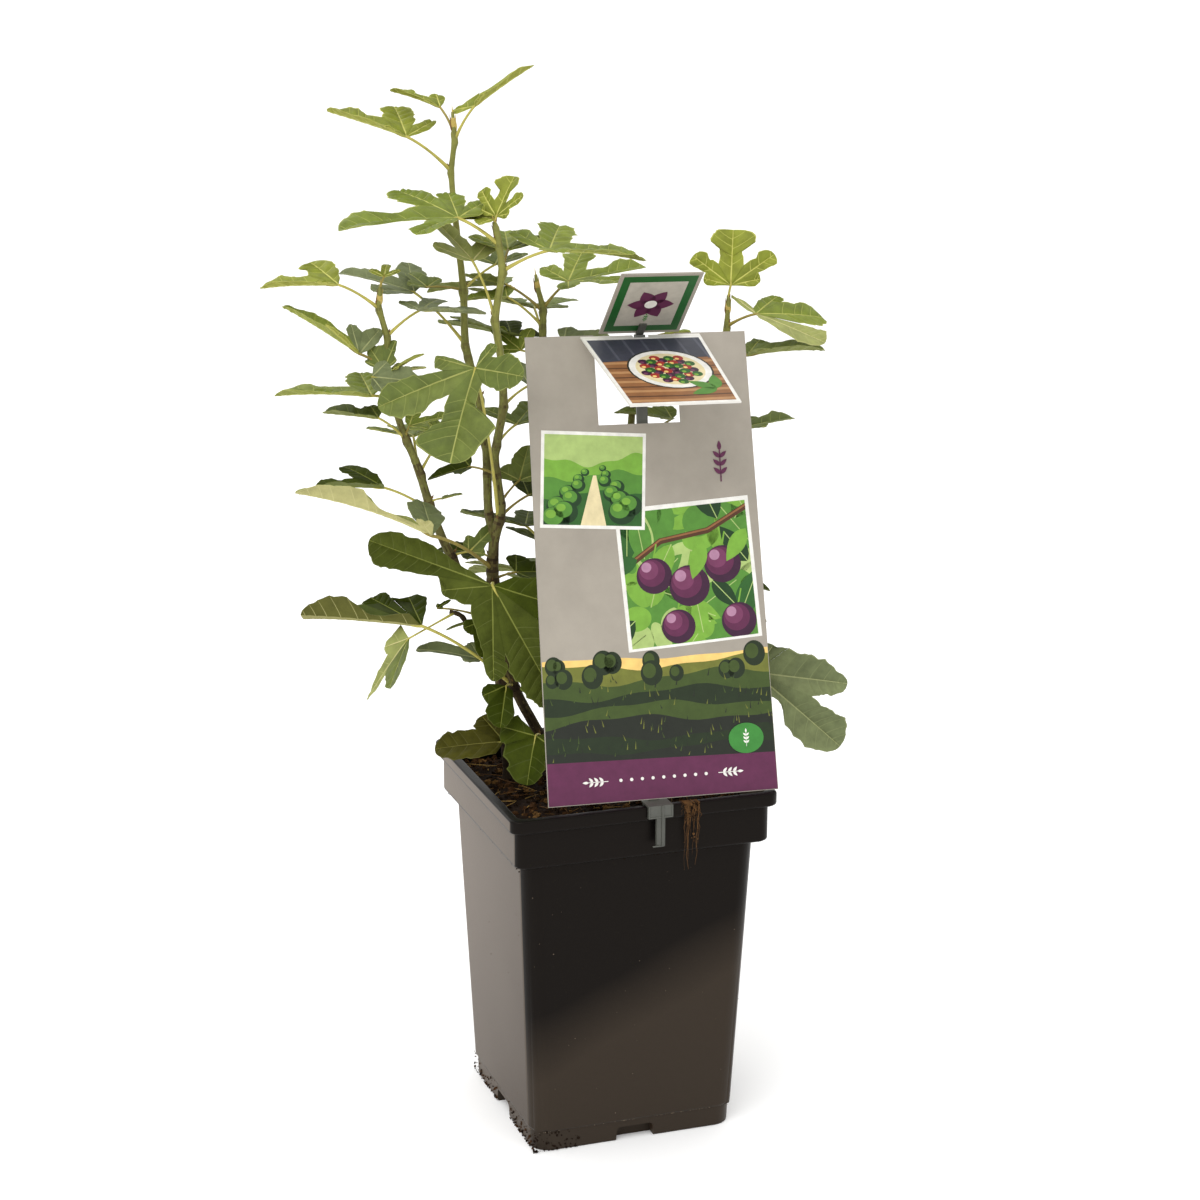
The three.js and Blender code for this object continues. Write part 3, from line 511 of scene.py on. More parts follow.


# A leaf's upper side, its underside and its veins. The underside's colour is partly its own paler colour and
# partly painted light shining through the leaf; u's olive underside is painted shade. The last number is how
# far its fine veins and margin differ from its upper side; the paler margin is painted light shining through
# the thin edge.
LEAF_COLOURS = {
    "y": ((116, 124, 33), (154, 156, 72), (198, 196, 112), 0.6),
    "l": ((107, 120, 40), (146, 152, 74), (188, 188, 106), 0.54),
    "w": ((134, 140, 76), (170, 166, 112), (196, 190, 134), 0.4),
    "m": ((87, 99, 40), (124, 130, 70), (158, 160, 92), 0.44),
    "g": ((101, 110, 72), (136, 141, 100), (158, 162, 114), 0.3),
    "n": ((68, 76, 26), (104, 112, 56), (128, 134, 62), 0.24),
    "d": ((50, 60, 8), (104, 112, 56), (120, 126, 52), 0.24),
    "o": ((62, 60, 16), (86, 84, 34), (112, 108, 46), 0.3),
    "u": ((52, 64, 16), (86, 86, 38), (180, 174, 122), 0.3),
}
for letter, (upper, under, vein, share) in LEAF_COLOURS.items():
    gloss = 0.05 if letter in "ndou" else 0.25
    finish("leaf_" + letter, upper, 0.6, 0.24, 0.009, 0.0003, 0.0012, gloss)
    finish("leaf_pale_" + letter, mixed(upper, vein, 0.12), 0.6, 0.24, 0.009, 0.0003, 0.0012, gloss)
    # Painted light: the margin is paler, standing in for light shining through the thin edge.
    finish("leaf_edge_" + letter, mixed(upper, vein, share + 0.1), 0.6, 0.05, 0.009, shine=0.2)
    # Painted light: undersides are lighter than their own colour, standing in for light shining through the
    # leaf; u's is darkened as painted shade.
    finish("leaf_under_" + letter, under, 0.7, 0.16, 0.009, 0.0004, 0.0009, 0.15)
    finish("leaf_vein_" + letter, mixed(upper, vein, 0.9), 0.6, 0.06, 0.006, shine=0.2)
    finish("leaf_line_" + letter, mixed(upper, vein, share), 0.6, 0.06, 0.006, shine=0.2)
    finish("leaf_rib_" + letter, mixed(under, vein, 0.6), 0.65, 0.05, 0.006, shine=0.2)

finish("stalk", (176, 167, 82), 0.5, 0.16, 0.006, shine=0.3)
finish("stalk_brown", (142, 128, 62), 0.55, 0.2, 0.006, shine=0.3)
finish("bud", (182, 160, 84), 0.5, 0.2, 0.004, shine=0.3)
finish("bud_brown", (112, 82, 40), 0.6, 0.2, 0.003, shine=0.3)
finish("scar", (104, 92, 62), 0.8, 0.25, 0.003, shine=0.2)
BARK = [
    finish("bark_root", (44, 33, 20), 0.85, 0.35, 0.004, 0.0006, 0.0015, 0.2),
    finish("bark_old", (58, 46, 27), 0.8, 0.35, 0.004, 0.0005, 0.0015, 0.2),
    finish("bark_brown", (80, 70, 38), 0.75, 0.3, 0.005, 0.0004, 0.0015, 0.25),
    finish("bark_olive", (98, 94, 46), 0.65, 0.25, 0.006, 0.0003, 0.0015, 0.3),
    finish("bark_green", (109, 109, 50), 0.55, 0.2, 0.006, 0.0002, 0.0015, 0.3),
    finish("bark_tip", (121, 121, 56), 0.5, 0.16, 0.006, 0.0001, 0.0015, 0.3),
]
WARM = (1, 0.86, 0.76)
finish("pot_black", (17, 15, 13), 0.34, 0.15, 0.03, 0.00012, 0.0011, 0.22, 1.32, WARM)
# Dust and painted reflection: the pale film on the pot's left wall, standing in for that side's sheen.
finish("pot_film", (50, 42, 35), 0.4, 0.2, 0.03, 0.00012, 0.0011, 0.4, 1.25, WARM)


def fade(name, low_rgb, high_rgb, way, low, high, cloudy=0.3):
    """Lets a finish change along a way through the object, between two distances along it in metres."""
    nodes, links = FINISHES[name].node_tree.nodes, FINISHES[name].node_tree.links
    place = nodes.new("ShaderNodeTexCoord")
    along = nodes.new("ShaderNodeVectorMath")
    along.operation = "DOT_PRODUCT"
    along.inputs[1].default_value = way
    cloud = add_node(nodes, "TexNoise", Scale=16, Detail=4)
    ends = {"To_Min": -cloudy / 2, "To_Max": 1 - cloudy / 2}
    share = add_node(nodes, "MapRange", From_Min=low, From_Max=high, **ends)
    share.clamp = False
    blend = nodes.new("ShaderNodeMath")
    blend.operation = "MULTIPLY_ADD"
    blend.inputs[1].default_value = cloudy
    ramp = add_ramp(nodes, colour(*low_rgb), colour(*high_rgb))
    links.new(place.outputs["Object"], along.inputs[0])
    links.new(place.outputs["Object"], cloud.inputs["Vector"])
    links.new(along.outputs["Value"], share.inputs["Value"])
    links.new(cloud.outputs["Fac"], blend.inputs[0])
    links.new(share.outputs["Result"], blend.inputs[2])
    links.new(blend.outputs["Value"], ramp.inputs["Fac"])
    links.new(ramp.outputs["Color"], nodes["Principled BSDF"].inputs["Base Color"])


# Painted reflection, with some dust: the black is lighter towards the pot's foot, reaching higher up on its
# right side.
fade("pot_black", (50, 43, 36), (11, 9, 8), (-0.42, 0, 0.91), 0.062, 0.098)
# Painted reflection: the film is lighter towards the back and top of the left wall and darker towards the
# front corner.
fade("pot_film", (53, 41, 28), (113, 103, 93), (0, 4.17, 2.62), -0.275, 0.725, 0.2)
finish("pot_dust", (104, 92, 78), 0.85, 0.3, 0.003, shine=0.2)
finish("peat_dark", (30, 19, 11), 0.95, 0.4, 0.004, 0.0008, 0.0012, 0.1)
finish("peat_brown", (62, 40, 21), 0.95, 0.35, 0.004, 0.0008, 0.0012, 0.1)
finish("peat_light", (104, 76, 42), 0.95, 0.3, 0.004, 0.0006, 0.0012, 0.1)
finish("straw", (148, 118, 64), 0.8, 0.25, 0.006, shine=0.2)
finish("root", (92, 64, 36), 0.85, 0.3, 0.004, shine=0.15)
finish("holder_plastic", (74, 75, 69), 0.4, 0.12, 0.008, 0.0001, 0.001, 0.4)
finish("card_grey", (152, 145, 134), 0.5, 0.1, 0.03, 0.00004, 0.0015, 0.3)
finish("card_back", (216, 213, 206), 0.6, 0.04, 0.03, 0.00004, 0.0015, 0.3)
INKS = {
    "white": (222, 220, 214), "cream": (212, 198, 156), "purple": (88, 36, 68), "plum": (56, 26, 50),
    "plum_light": (108, 52, 84), "plum_shine": (164, 120, 146), "frame_green": (24, 84, 34),
    "badge": (56, 124, 52), "leaf_bright": (112, 158, 56), "leaf_mid": (78, 128, 48),
    "leaf_deep": (42, 88, 36), "leaf_shade": (26, 56, 26), "haze": (158, 180, 108),
    "glow": (226, 190, 112), "wood": (134, 90, 54), "wood_dark": (78, 48, 30),
    "wood_light": (170, 126, 84), "lawn": (58, 74, 30), "lawn_light": (104, 108, 44),
    "lawn_dark": (30, 42, 22), "night": (30, 34, 26), "red": (150, 44, 40), "grey_light": (172, 167, 156),
    "slate": (56, 58, 70), "slate_light": (78, 80, 92),
}
for name, rgb in INKS.items():
    finish("ink_" + name, rgb, 0.45, 0.12, 0.006, 0.0, shine=0.3)


# ---------------------------------------------------------------- meshes
def mesh_of(name, points, faces):
    """A mesh from points in millimetres."""
    mesh = bpy.data.meshes.new(name)
    mesh.from_pydata((np.array(points) * MM).tolist(), [], faces)
    return mesh


def edit(mesh, change):
    """Changes a mesh by a function that works on its bmesh."""
    work = bmesh.new()
    work.from_mesh(mesh)
    change(work)
    work.to_mesh(mesh)
    work.free()


class Piece:
    """One mesh in the making: its points in millimetres, its faces, and each face's finish."""

    def __init__(self, name):
        self.name = name
        self.points = []
        self.faces = []
        self.finishes = []

    def add(self, points, faces, finish_names):
        """finish_names is one name for all the faces, or a list with one for each."""
        base = len(self.points)
        self.points.extend(tuple(p) for p in points)
        self.faces.extend(tuple(base + i for i in face) for face in faces)
        if isinstance(finish_names, str):
            finish_names = [finish_names] * len(faces)
        self.finishes.extend(finish_names)

    def make(self, slot, replaces=(), turn=0, weld=0.0, smooth=True):
        """Makes the object: turn degrees about the pot's axis, with points closer than weld joined."""
        index = {name: i for i, name in enumerate(sorted(set(self.finishes)))}
        mesh = mesh_of(self.name, self.points, self.faces)
        for name in index:
            mesh.materials.append(FINISHES[name])
        mesh.polygons.foreach_set("material_index", [index[name] for name in self.finishes])
        if weld:
            edit(mesh, lambda work: bmesh.ops.remove_doubles(work, verts=work.verts, dist=weld * MM))
        mesh.transform(Matrix.Rotation(math.radians(turn), 4, "Z"))
        mesh.polygons.foreach_set("use_smooth", [smooth] * len(mesh.polygons))
        mesh.update()
        thing = new_object(self.name, mesh)
        if replaces:
            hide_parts(*replaces)
        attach(thing, "root")
        return thing


def chance(key):
    """A number from 0 to 1 that is always the same for the same key."""
    s = math.sin(key * 12.9898) * 43758.5453
    return s - math.floor(s)


def swing(key):
    """A number from -1 to 1 that is always the same for the same key."""
    return 2 * chance(key) - 1


def rings_closed(rings):
    """The points and faces of a tube through rings of n points each, with flat ends."""
    n = len(rings[0])
    faces = []
    for k in range(len(rings) - 1):
        for i in range(n):
            a, b = k * n + i, k * n + (i + 1) % n
            faces.append((a, b, b + n, a + n))
    last = (len(rings) - 1) * n
    faces.append(tuple(range(n - 1, -1, -1)))
    faces.append(tuple(range(last, last + n)))
    return [p for ring in rings for p in ring], faces


def tube(points, radii, sides=8, level_start=False):
    """Rings square to a course; each radius is a number, or a function of the direction from the course."""
    at = [Vector(p) for p in points]
    across = Vector((1, 0.2, 0))
    rings = []
    for k, p in enumerate(at):
        way = (at[min(k + 1, len(at) - 1)] - at[max(k - 1, 0)]).normalized()
        if k == 0 and level_start:
            way = Vector((0, 0, 1))
        across = across - way * across.dot(way)
        if across.length < 0.2:
            across = Vector((0, 0, 1)) - way * way.z
        across.normalize()
        side = way.cross(across)
        ring = []
        for i in range(sides):
            a = 2 * math.pi * i / sides
            direction = across * math.cos(a) + side * math.sin(a)
            radius = radii[k](direction) if callable(radii[k]) else radii[k]
            ring.append(p + direction * radius)
        rings.append(ring)
    return rings_closed(rings)


def direction_of(bearing, rise):
    b, r = math.radians(bearing), math.radians(rise)
    return Vector((math.cos(r) * math.cos(b), math.cos(r) * math.sin(b), math.sin(r)))


# ---------------------------------------------------------------- shoots
def course_at(course, z):
    """The point of a course at a height, as [x, y, z, radius], on a smooth curve through its points."""
    k = 1
    while k < len(course) - 1 and course[k][2] < z:
        k += 1
    a, b = course[k - 1], course[k]
    before, after = course[max(k - 2, 0)], course[min(k + 1, len(course) - 1)]
    t = (z - a[2]) / (b[2] - a[2])
    point = []
    for i in range(4):
        value = a[i] + (b[i] - a[i]) * t
        if i in (0, 1) and 0 < t < 1:
            slope_a = (b[i] - before[i]) / (b[2] - before[2]) * (b[2] - a[2])
            slope_b = (after[i] - a[i]) / (after[2] - a[2]) * (b[2] - a[2])
            curve = (
                (2 * t ** 3 - 3 * t ** 2 + 1) * a[i] + (t ** 3 - 2 * t ** 2 + t) * slope_a
                + (3 * t ** 2 - 2 * t ** 3) * b[i] + (t ** 3 - t ** 2) * slope_b
            )
            value = (value + curve) / 2
        point.append(value)
    return point


def turned(low, high, count, first, stalk, blade, right, left):
    """The rows of the leaves that stand in turn round a shoot, between two heights and two bearings."""
    rows = []
    for k in range(count):
        height = low + (high - low) * (k + 0.5) / count
        bearing = right + (first + GOLDEN * k) % (left - right)
        pitch = -12 + 24 * chance(k + low)
        share = 0.8 + 0.35 * chance(k + high)
        shape = TURN_SHAPES[k % len(TURN_SHAPES)]
        rows.append([height, bearing, 30, stalk * share, bearing + 12, pitch, 10, blade * share, shape])
    return rows


def rows_of(spray):
    return LEAVES.get(spray, []) + (turned(*TURNS[spray]) if spray in TURNS else [])


def nodes_of(shoot):
    """Where leaves stand, or stood, on a shoot: (height, bearing)."""
    rows = [row for spray, bearer in SPRAYS.items() if bearer == shoot for row in rows_of(spray)]
    if shoot == "main":
        rows += TRUNK_LEAVES.values()
    found = [(row[0], row[1]) for row in rows]
    # Scars of leaves that have fallen, up the bare length in turn.
    bare_top = min(z for z, _ in found) - 6
    z, k = GROUND + 16, 0
    while z < bare_top:
        found.append((z, 70 + GOLDEN * k))
        z += 15 + 9 * chance(k + len(shoot))
        k += 1
    return sorted(found)


RING_STEP = 1.6  # between a stem's rings
STEM_SIDES = 18
STEM_SUNK = 1.5  # how far a stem goes down into the soil
KNUCKLE = 0.6  # swelling of a stem at a leaf
PORES = 0.55  # for each millimetre of a stem


def nearness(gap, width):
    """1 where the gap is nothing, and fading to 0 over a few widths."""
    return math.exp(-((gap / width) ** 2))


def relief_at(z, radius, joints, key):
    """A stem's radius at a height, as a function of direction, with its knuckles, streaks and pits."""
    near = [(h, bearing) for h, bearing in joints if abs(h - z) < 9]

    def relief(way):
        swell = 0
        for h, bearing in near:
            facing = max(0, way.dot(direction_of(bearing, 0)))
            swell += KNUCKLE * nearness(z - h + 1, 2.2) * (0.3 + facing)
            swell += 0.18 * nearness(z - h - 3.2, 0.6)
        streak = noise.noise(Vector((way.x * 2.2, way.y * 2.2, z * 0.05 + key)))
        pit = noise.noise(Vector((way.x * 5, way.y * 5, z * 0.35)))
        return radius + swell + radius * (0.07 * streak + 0.035 * pit)

    return relief


def bark_at(z, radius, angle, key, scarred):
    """The bark's finish at a place on a shoot: brown below, green above, patched, dark under a leaf."""
    patch = noise.noise(Vector((1.7 * math.cos(angle), 1.7 * math.sin(angle), z * 0.11 + key)))
    fleck = noise.noise(Vector((4 * math.cos(angle), 4 * math.sin(angle), z * 0.5 + key)))
    age = (z - 164) / 62 + (2.6 - radius) * 0.2 + 1.3 * patch + 0.7 * fleck - 1.2 * scarred
    return BARK[int(min(len(BARK) - 1, max(0, round(age))))].name


def make_shoot(name, replaced):
    course, joints, key = COURSE[name], nodes_of(name), len(name)
    low, top = course[0][2], course[-1][2]
    if name != "tall":
        low -= STEM_SUNK
    count = int((top - low) / RING_STEP)
    points, radii, names = [], [], []
    for k in range(count + 1):
        z = low + (top - low) * k / count
        x, y, _, radius = course_at(course, max(z, course[0][2]))
        points.append((x, y, z))
        radii.append(relief_at(z, radius, joints, key))
        scarred = max(nearness(z - h + 0.6, 1.4) for h, _ in joints)
        if k < count:
            angles = [2 * math.pi * i / STEM_SIDES for i in range(STEM_SIDES)]
            names += [bark_at(z, radius, angle, key, scarred) for angle in angles]
    shoot = Piece("shoot_" + name)
    shoot.add(*tube(points, radii, STEM_SIDES, level_start=True), names + ["bark_root", "bark_tip"])
    for height, bearing in joints:
        if height >= low + 3:
            add_side_bud(shoot, course, height, bearing)
    add_pores(shoot, course, low, key)
    shoot.make("bark", replaced, PLANT_TURN)


def spindle(start, way, length, thick, sides=7, rings=6, sharp=1.6):
    """A pointed bud."""
    start, way = Vector(start), Vector(way).normalized()
    points, radii = [], []
    for k in range(rings + 1):
        points.append(start + way * (length * k / rings))
        belly = 0.55 + 0.45 * math.sin(math.pi * min(1, 1.7 * k / rings))  # widest at about a third
        radii.append(thick * belly * (1 - (k / rings) ** sharp) + 0.06)
    return tube(points, radii, sides)


def add_side_bud(piece, course, height, bearing):
    """A small bud over the foot of a leaf's stalk, and the scar's pale rim."""
    x, y, z, radius = course_at(course, height)
    out = direction_of(bearing, 0)
    size = 0.45 + 0.25 * radius
    start = Vector((x, y, z + 2.4)) + out * radius * 0.75
    piece.add(*spindle(start, out + Vector((0, 0, 1.7)), 2.6 * size, 0.75 * size), "bud_brown")
    if chance(height * 0.7 + bearing) > 0.45:
        start = Vector((x, y, z - 0.3)) + out * (radius * 0.8)
        piece.add(*spindle(start, out + Vector((0, 0, 0.2)), 0.9, 0.8, 8, 3, 4), "scar")


def add_pores(piece, course, low, key):
    """The pale pores of the older bark."""
    top = min(course[-1][2] - 20, 400)
    for k in range(int((top - low) * PORES)):
        z = low + 4 + (top - low) * chance(k * 1.7 + key)
        x, y, _, radius = course_at(course, z)
        out = direction_of(360 * chance(k * 2.3), 0)
        size = 0.28 + 0.3 * chance(k * 3.1)
        start = Vector((x, y, z)) + out * (radius * 0.98 - 0.25)
        piece.add(*spindle(start, out, 0.45, size, 5, 2, 4), "scar")


# ---------------------------------------------------------------- leaves
BLADE_THICK = 0.42
MARGIN_THICK = 0.18
MIDRIB = 0.5  # how far it stands out below the blade
SIDE_VEIN = 0.13  # the same for a side vein
VEIN_GAP = 8.5  # between side veins
VEIN_HALF = 0.24  # half the width of a side vein
VEIN_LAG = 0.6  # how far a side vein runs forward for each step outward
TOOTH = 0.035
WAVE = 0.02
PUCKER = {"y": 0.03, "l": 0.026, "m": 0.018, "o": 0.026, "u": 0.02}  # quilting between the veins, by tone
PUCKER_GROWN = 0.012
COLUMNS = (0, None, 0.3, 0.6, 0.84, 0.955, 1)  # from midrib to margin; None is the midrib's own edge
BETWEEN = (0.25, 0.5, 0.75)  # rows between two side veins
RIPPLES = ((1.3, 0.07), (2.9, 0.05), (6.3, 0.028))  # uneven margin: (waves along a lobe, depth)
FOOT_ROWS = 2  # cells of a half lobe's grid before its bay


def soft(x, width=0.03):
    """A distance from the midrib, with its start rounded off."""
    return math.sqrt(x * x + width * width) - width


def ease(t):
    t = min(1, max(0, t))
    return t * t * (3 - 2 * t)


def lobe_outline(lobe, bay, side, shape, key):
    """How a half lobe's margin runs: a function of t, -1 at the leaf's foot, 0 at the bay and 1 at the tip.

    It gives the distance along the lobe's midrib and the distance from it, as shares of the leaf's length.
    """
    angle, reach, broad, neck, blunt, flare = (
        part[side > 0] if isinstance(part, list) else part for part in (list(lobe) + [None] * 4)[:6]
    )
    width = (broad or shape["half"]) * (0.55 + 0.45 * reach)
    away = math.radians(abs(bay[0] - angle))
    out, start = bay[1] * math.cos(away), bay[1] * math.sin(away)
    blunt, flare = blunt or shape["blunt"], flare or 0.7
    slope = math.tan(min(away, 1.2)) * 0.86

    def spread(p):
        if neck is None:
            return start + (width - start) * ease(p / 0.6)
        begun = flare * 0.5
        if p < begun:
            return start + (neck - start) * ease(p / min(0.3, begun))
        return neck + (width - neck) * ease((p - begun) / (flare - begun))

    def outline(t):
        if t <= 0:
            return (1 + t) * out, (1 + t) * start
        p = math.sin(t * math.pi / 2)
        uneven = sum(
            depth * math.sin(2 * math.pi * (waves * p + chance(key + 5.1 * waves + 0.37 * side)))
            for waves, depth in RIPPLES
        ) * min(1, 4 * p) * min(1, 5 * (1 - t) + 0.2)
        along = out + (reach - out) * p * (1 + 0.1 * uneven * (1 - p))
        half = math.sqrt(max(0, 1 - p ** blunt)) * spread(p) * (1 + uneven)
        return along, min(half, start + max(0.02, along - out) * slope + 0.01)

    return outline, out, start, reach


def vein_rows(veins, side, key):
    """The rows of a half lobe's grid: (t, which edge of a side vein, pucker, whether a vein comes next)."""
    def place(k):
        return (k + 0.5 + 0.34 * (chance(key + 1.7 * k + side) - 0.5)) / veins * 0.94

    rows = [(-1, 0, 0, False), (-0.5, 0, 0.3, False), (0, 0, 0.5, False)]
    for k in range(veins):
        t = place(k)
        rows += [(t, -1, 0, True), (t, 1, 0, False)]
        if k < veins - 1:
            rows += [(t + (place(k + 1) - t) * s, 0, math.sin(math.pi * s), False) for s in BETWEEN]
    near_tip = (rows[-1][0] + 0.965) / 2
    return rows + [(near_tip, 0, 0.4, False), (0.965, 0, 0.2, False), (0.99, 0, 0, False), (1, 0, 0, False)]


def half_lobe(lobe, bay, side, shape, length, key, pucker_depth, clear):
    """Half a lobe: its grid of (u, v, height, thickness, share outward) from the leaf's foot to the tip.

    Returns the grid and, for each row, whether the cells after it are a side vein's. Beyond clear the lobe
    bends up or down.
    """
    outline, out, start, reach = lobe_outline(lobe, bay, side, shape, key)
    rows = vein_rows(max(2, round(reach * length / VEIN_GAP)), side, key)
    angle = math.radians(lobe[0])
    bend = 0.16 * (chance(key * 3.1) - 0.5)
    thin = VEIN_HALF / length
    grid = []
    ribbed = -1
    for t, vein_side, pucker, _ in rows:
        x, h = outline(t)
        rib = (1 + t) * max(0.02, out - VEIN_LAG * start) if t <= 0 else max(0.02, x - VEIN_LAG * h)
        rib += vein_side * thin
        ribbed = min(max(ribbed + 0.002, rib) if t > -1 else 0, reach)
        rib_half = (0.46 - 0.3 * ribbed / reach) / length
        tooth = 1 + TOOTH * math.sin(math.pi * max(0, t)) * (1 - 2 * pucker)
        ramp = max(0, t) * math.sin(math.pi * max(0, t))
        wave = math.sin(5 * t + key * 1.7 + side) + 0.6 * math.sin(11 * t + key * 2.9 - side)
        row = []
        for c in COLUMNS:
            own = min(0.22, rib_half / max(h, 1e-4)) if c is None else c
            own_shape = 0 if t <= -1 else 1 if t >= 1 else own
            along = ribbed + (x - ribbed) * own ** 1.3 + vein_side * thin * 0.4 * own
            aside = h * own * (1 + (tooth - 1) * own ** 3)
            u = along * math.cos(angle) - side * aside * math.sin(angle)
            v = along * math.sin(angle) + side * aside * math.cos(angle)
            height = LEAF_FOLD * soft(aside)
            height += pucker_depth * pucker * math.sin(math.pi * min(1, own_shape * 1.05)) ** 0.7
            height += WAVE * own_shape ** 2 * ramp * wave
            height += bend * max(0, along - clear) ** 2
            thick = BLADE_THICK + (MARGIN_THICK - BLADE_THICK) * own_shape
            row.append((u, v, height, thick, own_shape))
        grid.append(row)
    return np.array(grid), [row[3] for row in rows]


def blade_axes(heading, pitch, roll):
    """A blade's own axes: along it, to its left and up from it."""
    along = direction_of(heading, pitch)
    left = Vector((0, 0, 1)).cross(along).normalized()
    rolled = Matrix.Rotation(math.radians(roll), 3, along)
    return np.array([along[:], (rolled @ left)[:], (rolled @ along.cross(left))[:]])


def blade_levels(grid, in_vein, length, bow):
    """The heights of half a lobe's upper side and underside. bow is how it is cupped, droops and curls."""
    u, v, height, thick, out = (grid[:, :, i] for i in range(5))
    cup, droop, curl = bow
    lift = height + cup * (np.sqrt(v * v + 9e-4) - 0.03) - droop * (u * u + v * v) + curl * u * u
    ridge = np.where(out < 1e-6, MIDRIB, 0.0)
    veined = np.zeros_like(out)
    for i, is_vein in enumerate(in_vein):
        if is_vein:
            veined[i] = veined[i + 1] = SIDE_VEIN * (1 - out[i])
    upper = lift * length + thick / 2 - 0.16 * (ridge > 0)
    lower = lift * length - thick / 2 - ridge * (1 - 0.7 * np.clip(u * u + v * v, 0, 1)) - veined
    return upper, lower


def blade_points(grid, levels, length, folds, axes, foot):
    """The points of half a lobe's two sides, with the leaf's left and right half turned up by folds."""
    u, v = grid[:, :, 0], grid[:, :, 1]
    turn = np.radians(np.where(v > 0, folds[0], folds[1]))
    sheets = []
    for level in levels:
        across = v * length * np.cos(turn) - level * np.sin(turn) * np.sign(v)
        risen = level * np.cos(turn) + np.abs(v) * length * np.sin(turn)
        local = np.stack([u * length, across, risen], axis=-1).reshape(-1, 3)
        sheets.append(local @ axes + foot)
    return np.concatenate(sheets).tolist()


def blade_faces(rows, columns, in_vein, side, outside, tone, letter):
    """The faces of half a lobe, and their finishes. Only the leaf's outside has a margin at its foot."""
    under = rows * columns
    faces, kinds = [], []
    for i in range(rows - 1):
        at_margin = i >= FOOT_ROWS or outside
        for j in range(columns - 1):
            a = i * columns + j
            b, c, d = a + 1, a + 1 + columns, a + columns
            top = [a, d, c, b] if side > 0 else [a, b, c, d]
            faces += [top, [under + q for q in reversed(top)]]
            if j == 0:
                kinds += ["vein_", "rib_"]
            elif in_vein[i] and j < columns - 2:
                kinds += ["line_", "rib_"]
            # The outermost strip and the rim get the margin finish, whose paler colour is painted light
            # shining through the edge.
            elif at_margin and j == columns - 2:
                kinds += ["edge_", "under_"]
            else:
                kinds += [tone, "under_"]
        if at_margin:
            a, d = (i + 1) * columns - 1, (i + 2) * columns - 1
            rim = [a, a + under, d + under, d]
            faces.append(rim if side < 0 else rim[::-1])
            kinds.append("edge_")
    return faces, ["leaf_" + kind + letter for kind in kinds]


def add_leaf(blades, foot, row, letters, key, folds):
    """A blade with an upper side, an underside and veins on both.

    letters gives the tone, one for the leaf or one for each lobe. folds turns its left and right half up.
    """
    heading, pitch, roll, length, shape_name = row[4:9]
    shape = SHAPES[shape_name]
    lobes, bays = shape["lobes"], shape["bays"]
    axes, origin = blade_axes(heading, pitch, roll), np.array(foot[:])
    cup = row[9] if len(row) > 9 else LEAF_CUP
    bow = (cup, shape["droop"], 0.05 * (chance(key * 1.3) - 0.5))
    for k, lobe in enumerate(lobes):
        letter = letters[k % len(letters)]
        pucker, clear = PUCKER.get(letter, PUCKER_GROWN), max(bays[k][1], bays[k + 1][1])
        for side, near in ((-1, k), (1, k + 1)):
            grid, in_vein = half_lobe(lobe, bays[near], side, shape, length, key + k * 0.9, pucker, clear)
            levels = blade_levels(grid, in_vein, length, bow)
            tone = "" if chance(key + k * 3.3 + side) > 0.4 else "pale_"
            outside = near in (0, len(lobes))
            blades.add(
                blade_points(grid, levels, length, folds, axes, origin),
                *blade_faces(*grid.shape[:2], in_vein, side, outside, tone, letter),
            )


def bezier(a, b, c, d, count):
    points = []
    for k in range(count + 1):
        t = k / count
        s = 1 - t
        points.append(a * s ** 3 + b * 3 * s * s * t + c * 3 * s * t * t + d * t ** 3)
    return points


def add_stalk(stalks, root, foot, row, key, straight):
    """A leaf's stalk, from inside the stem to a little way along the blade's underside."""
    _, bearing, rise, reach, heading, pitch, _, length = row[:8]
    thick = 0.62 + length / 135
    leaving = root + direction_of(bearing, rise + 8) * reach * 0.4
    arriving = foot + Vector((0, 0, 0.02 * reach)) - direction_of(bearing, rise - 8) * reach * 0.3
    if straight:
        thick *= 0.75
        leaving, arriving = root.lerp(foot, 0.33), root.lerp(foot, 0.67)
    points = bezier(root, leaving, arriving, foot, max(6, int(reach / 4)))
    for along, below in ((3, 0.5), (6.5, 0.6)):
        points.append(foot + direction_of(heading, pitch) * along - Vector((0, 0, below)))
    shares = [k / (len(points) - 1) for k in range(len(points))]
    radii = [thick * (1.18 - 0.42 * min(1, s * 3) + 0.24 * max(0, s - 0.7)) for s in shares]
    radii[-2:] = [thick * 0.62, thick * 0.3]
    radii[0] = thick * 1.35
    stalks.add(*tube(points, radii, 8), "stalk" if chance(key * 2.1) > 0.3 else "stalk_brown")


def grow(name, shoot, rows, title, stalks):
    """A spray of leaves, or one large leaf, as a piece of its own; their stalks join the others."""
    blades = Piece(title)
    for k, row in enumerate(rows):
        key = sum(map(ord, name)) % 97 + k * 1.618
        root = Vector(course_at(COURSE[shoot], row[0])[:3])
        foot = root + direction_of(row[1], row[2]) * row[3]
        start = Vector(ON_SPUR.get((name, k), root))
        add_stalk(stalks, start, foot, row, key, (name, k) in ON_SPUR)
        add_leaf(blades, foot, row, TONES[name][k], key, FOLDS.get((name, k), (0, 0)))
    blades.make("foliage", [name], PLANT_TURN, weld=0.012)


def make_leaves():
    stalks = Piece("leaf_stalks")
    for spray, shoot in SPRAYS.items():
        grow(spray, shoot, rows_of(spray), spray.replace("foliage_", "leaves_"), stalks)
    for name, row in TRUNK_LEAVES.items():
        grow(name, "main", [row], name.replace("leaf_", "big_leaf_"), stalks)
    stalks.make("foliage", turn=PLANT_TURN)


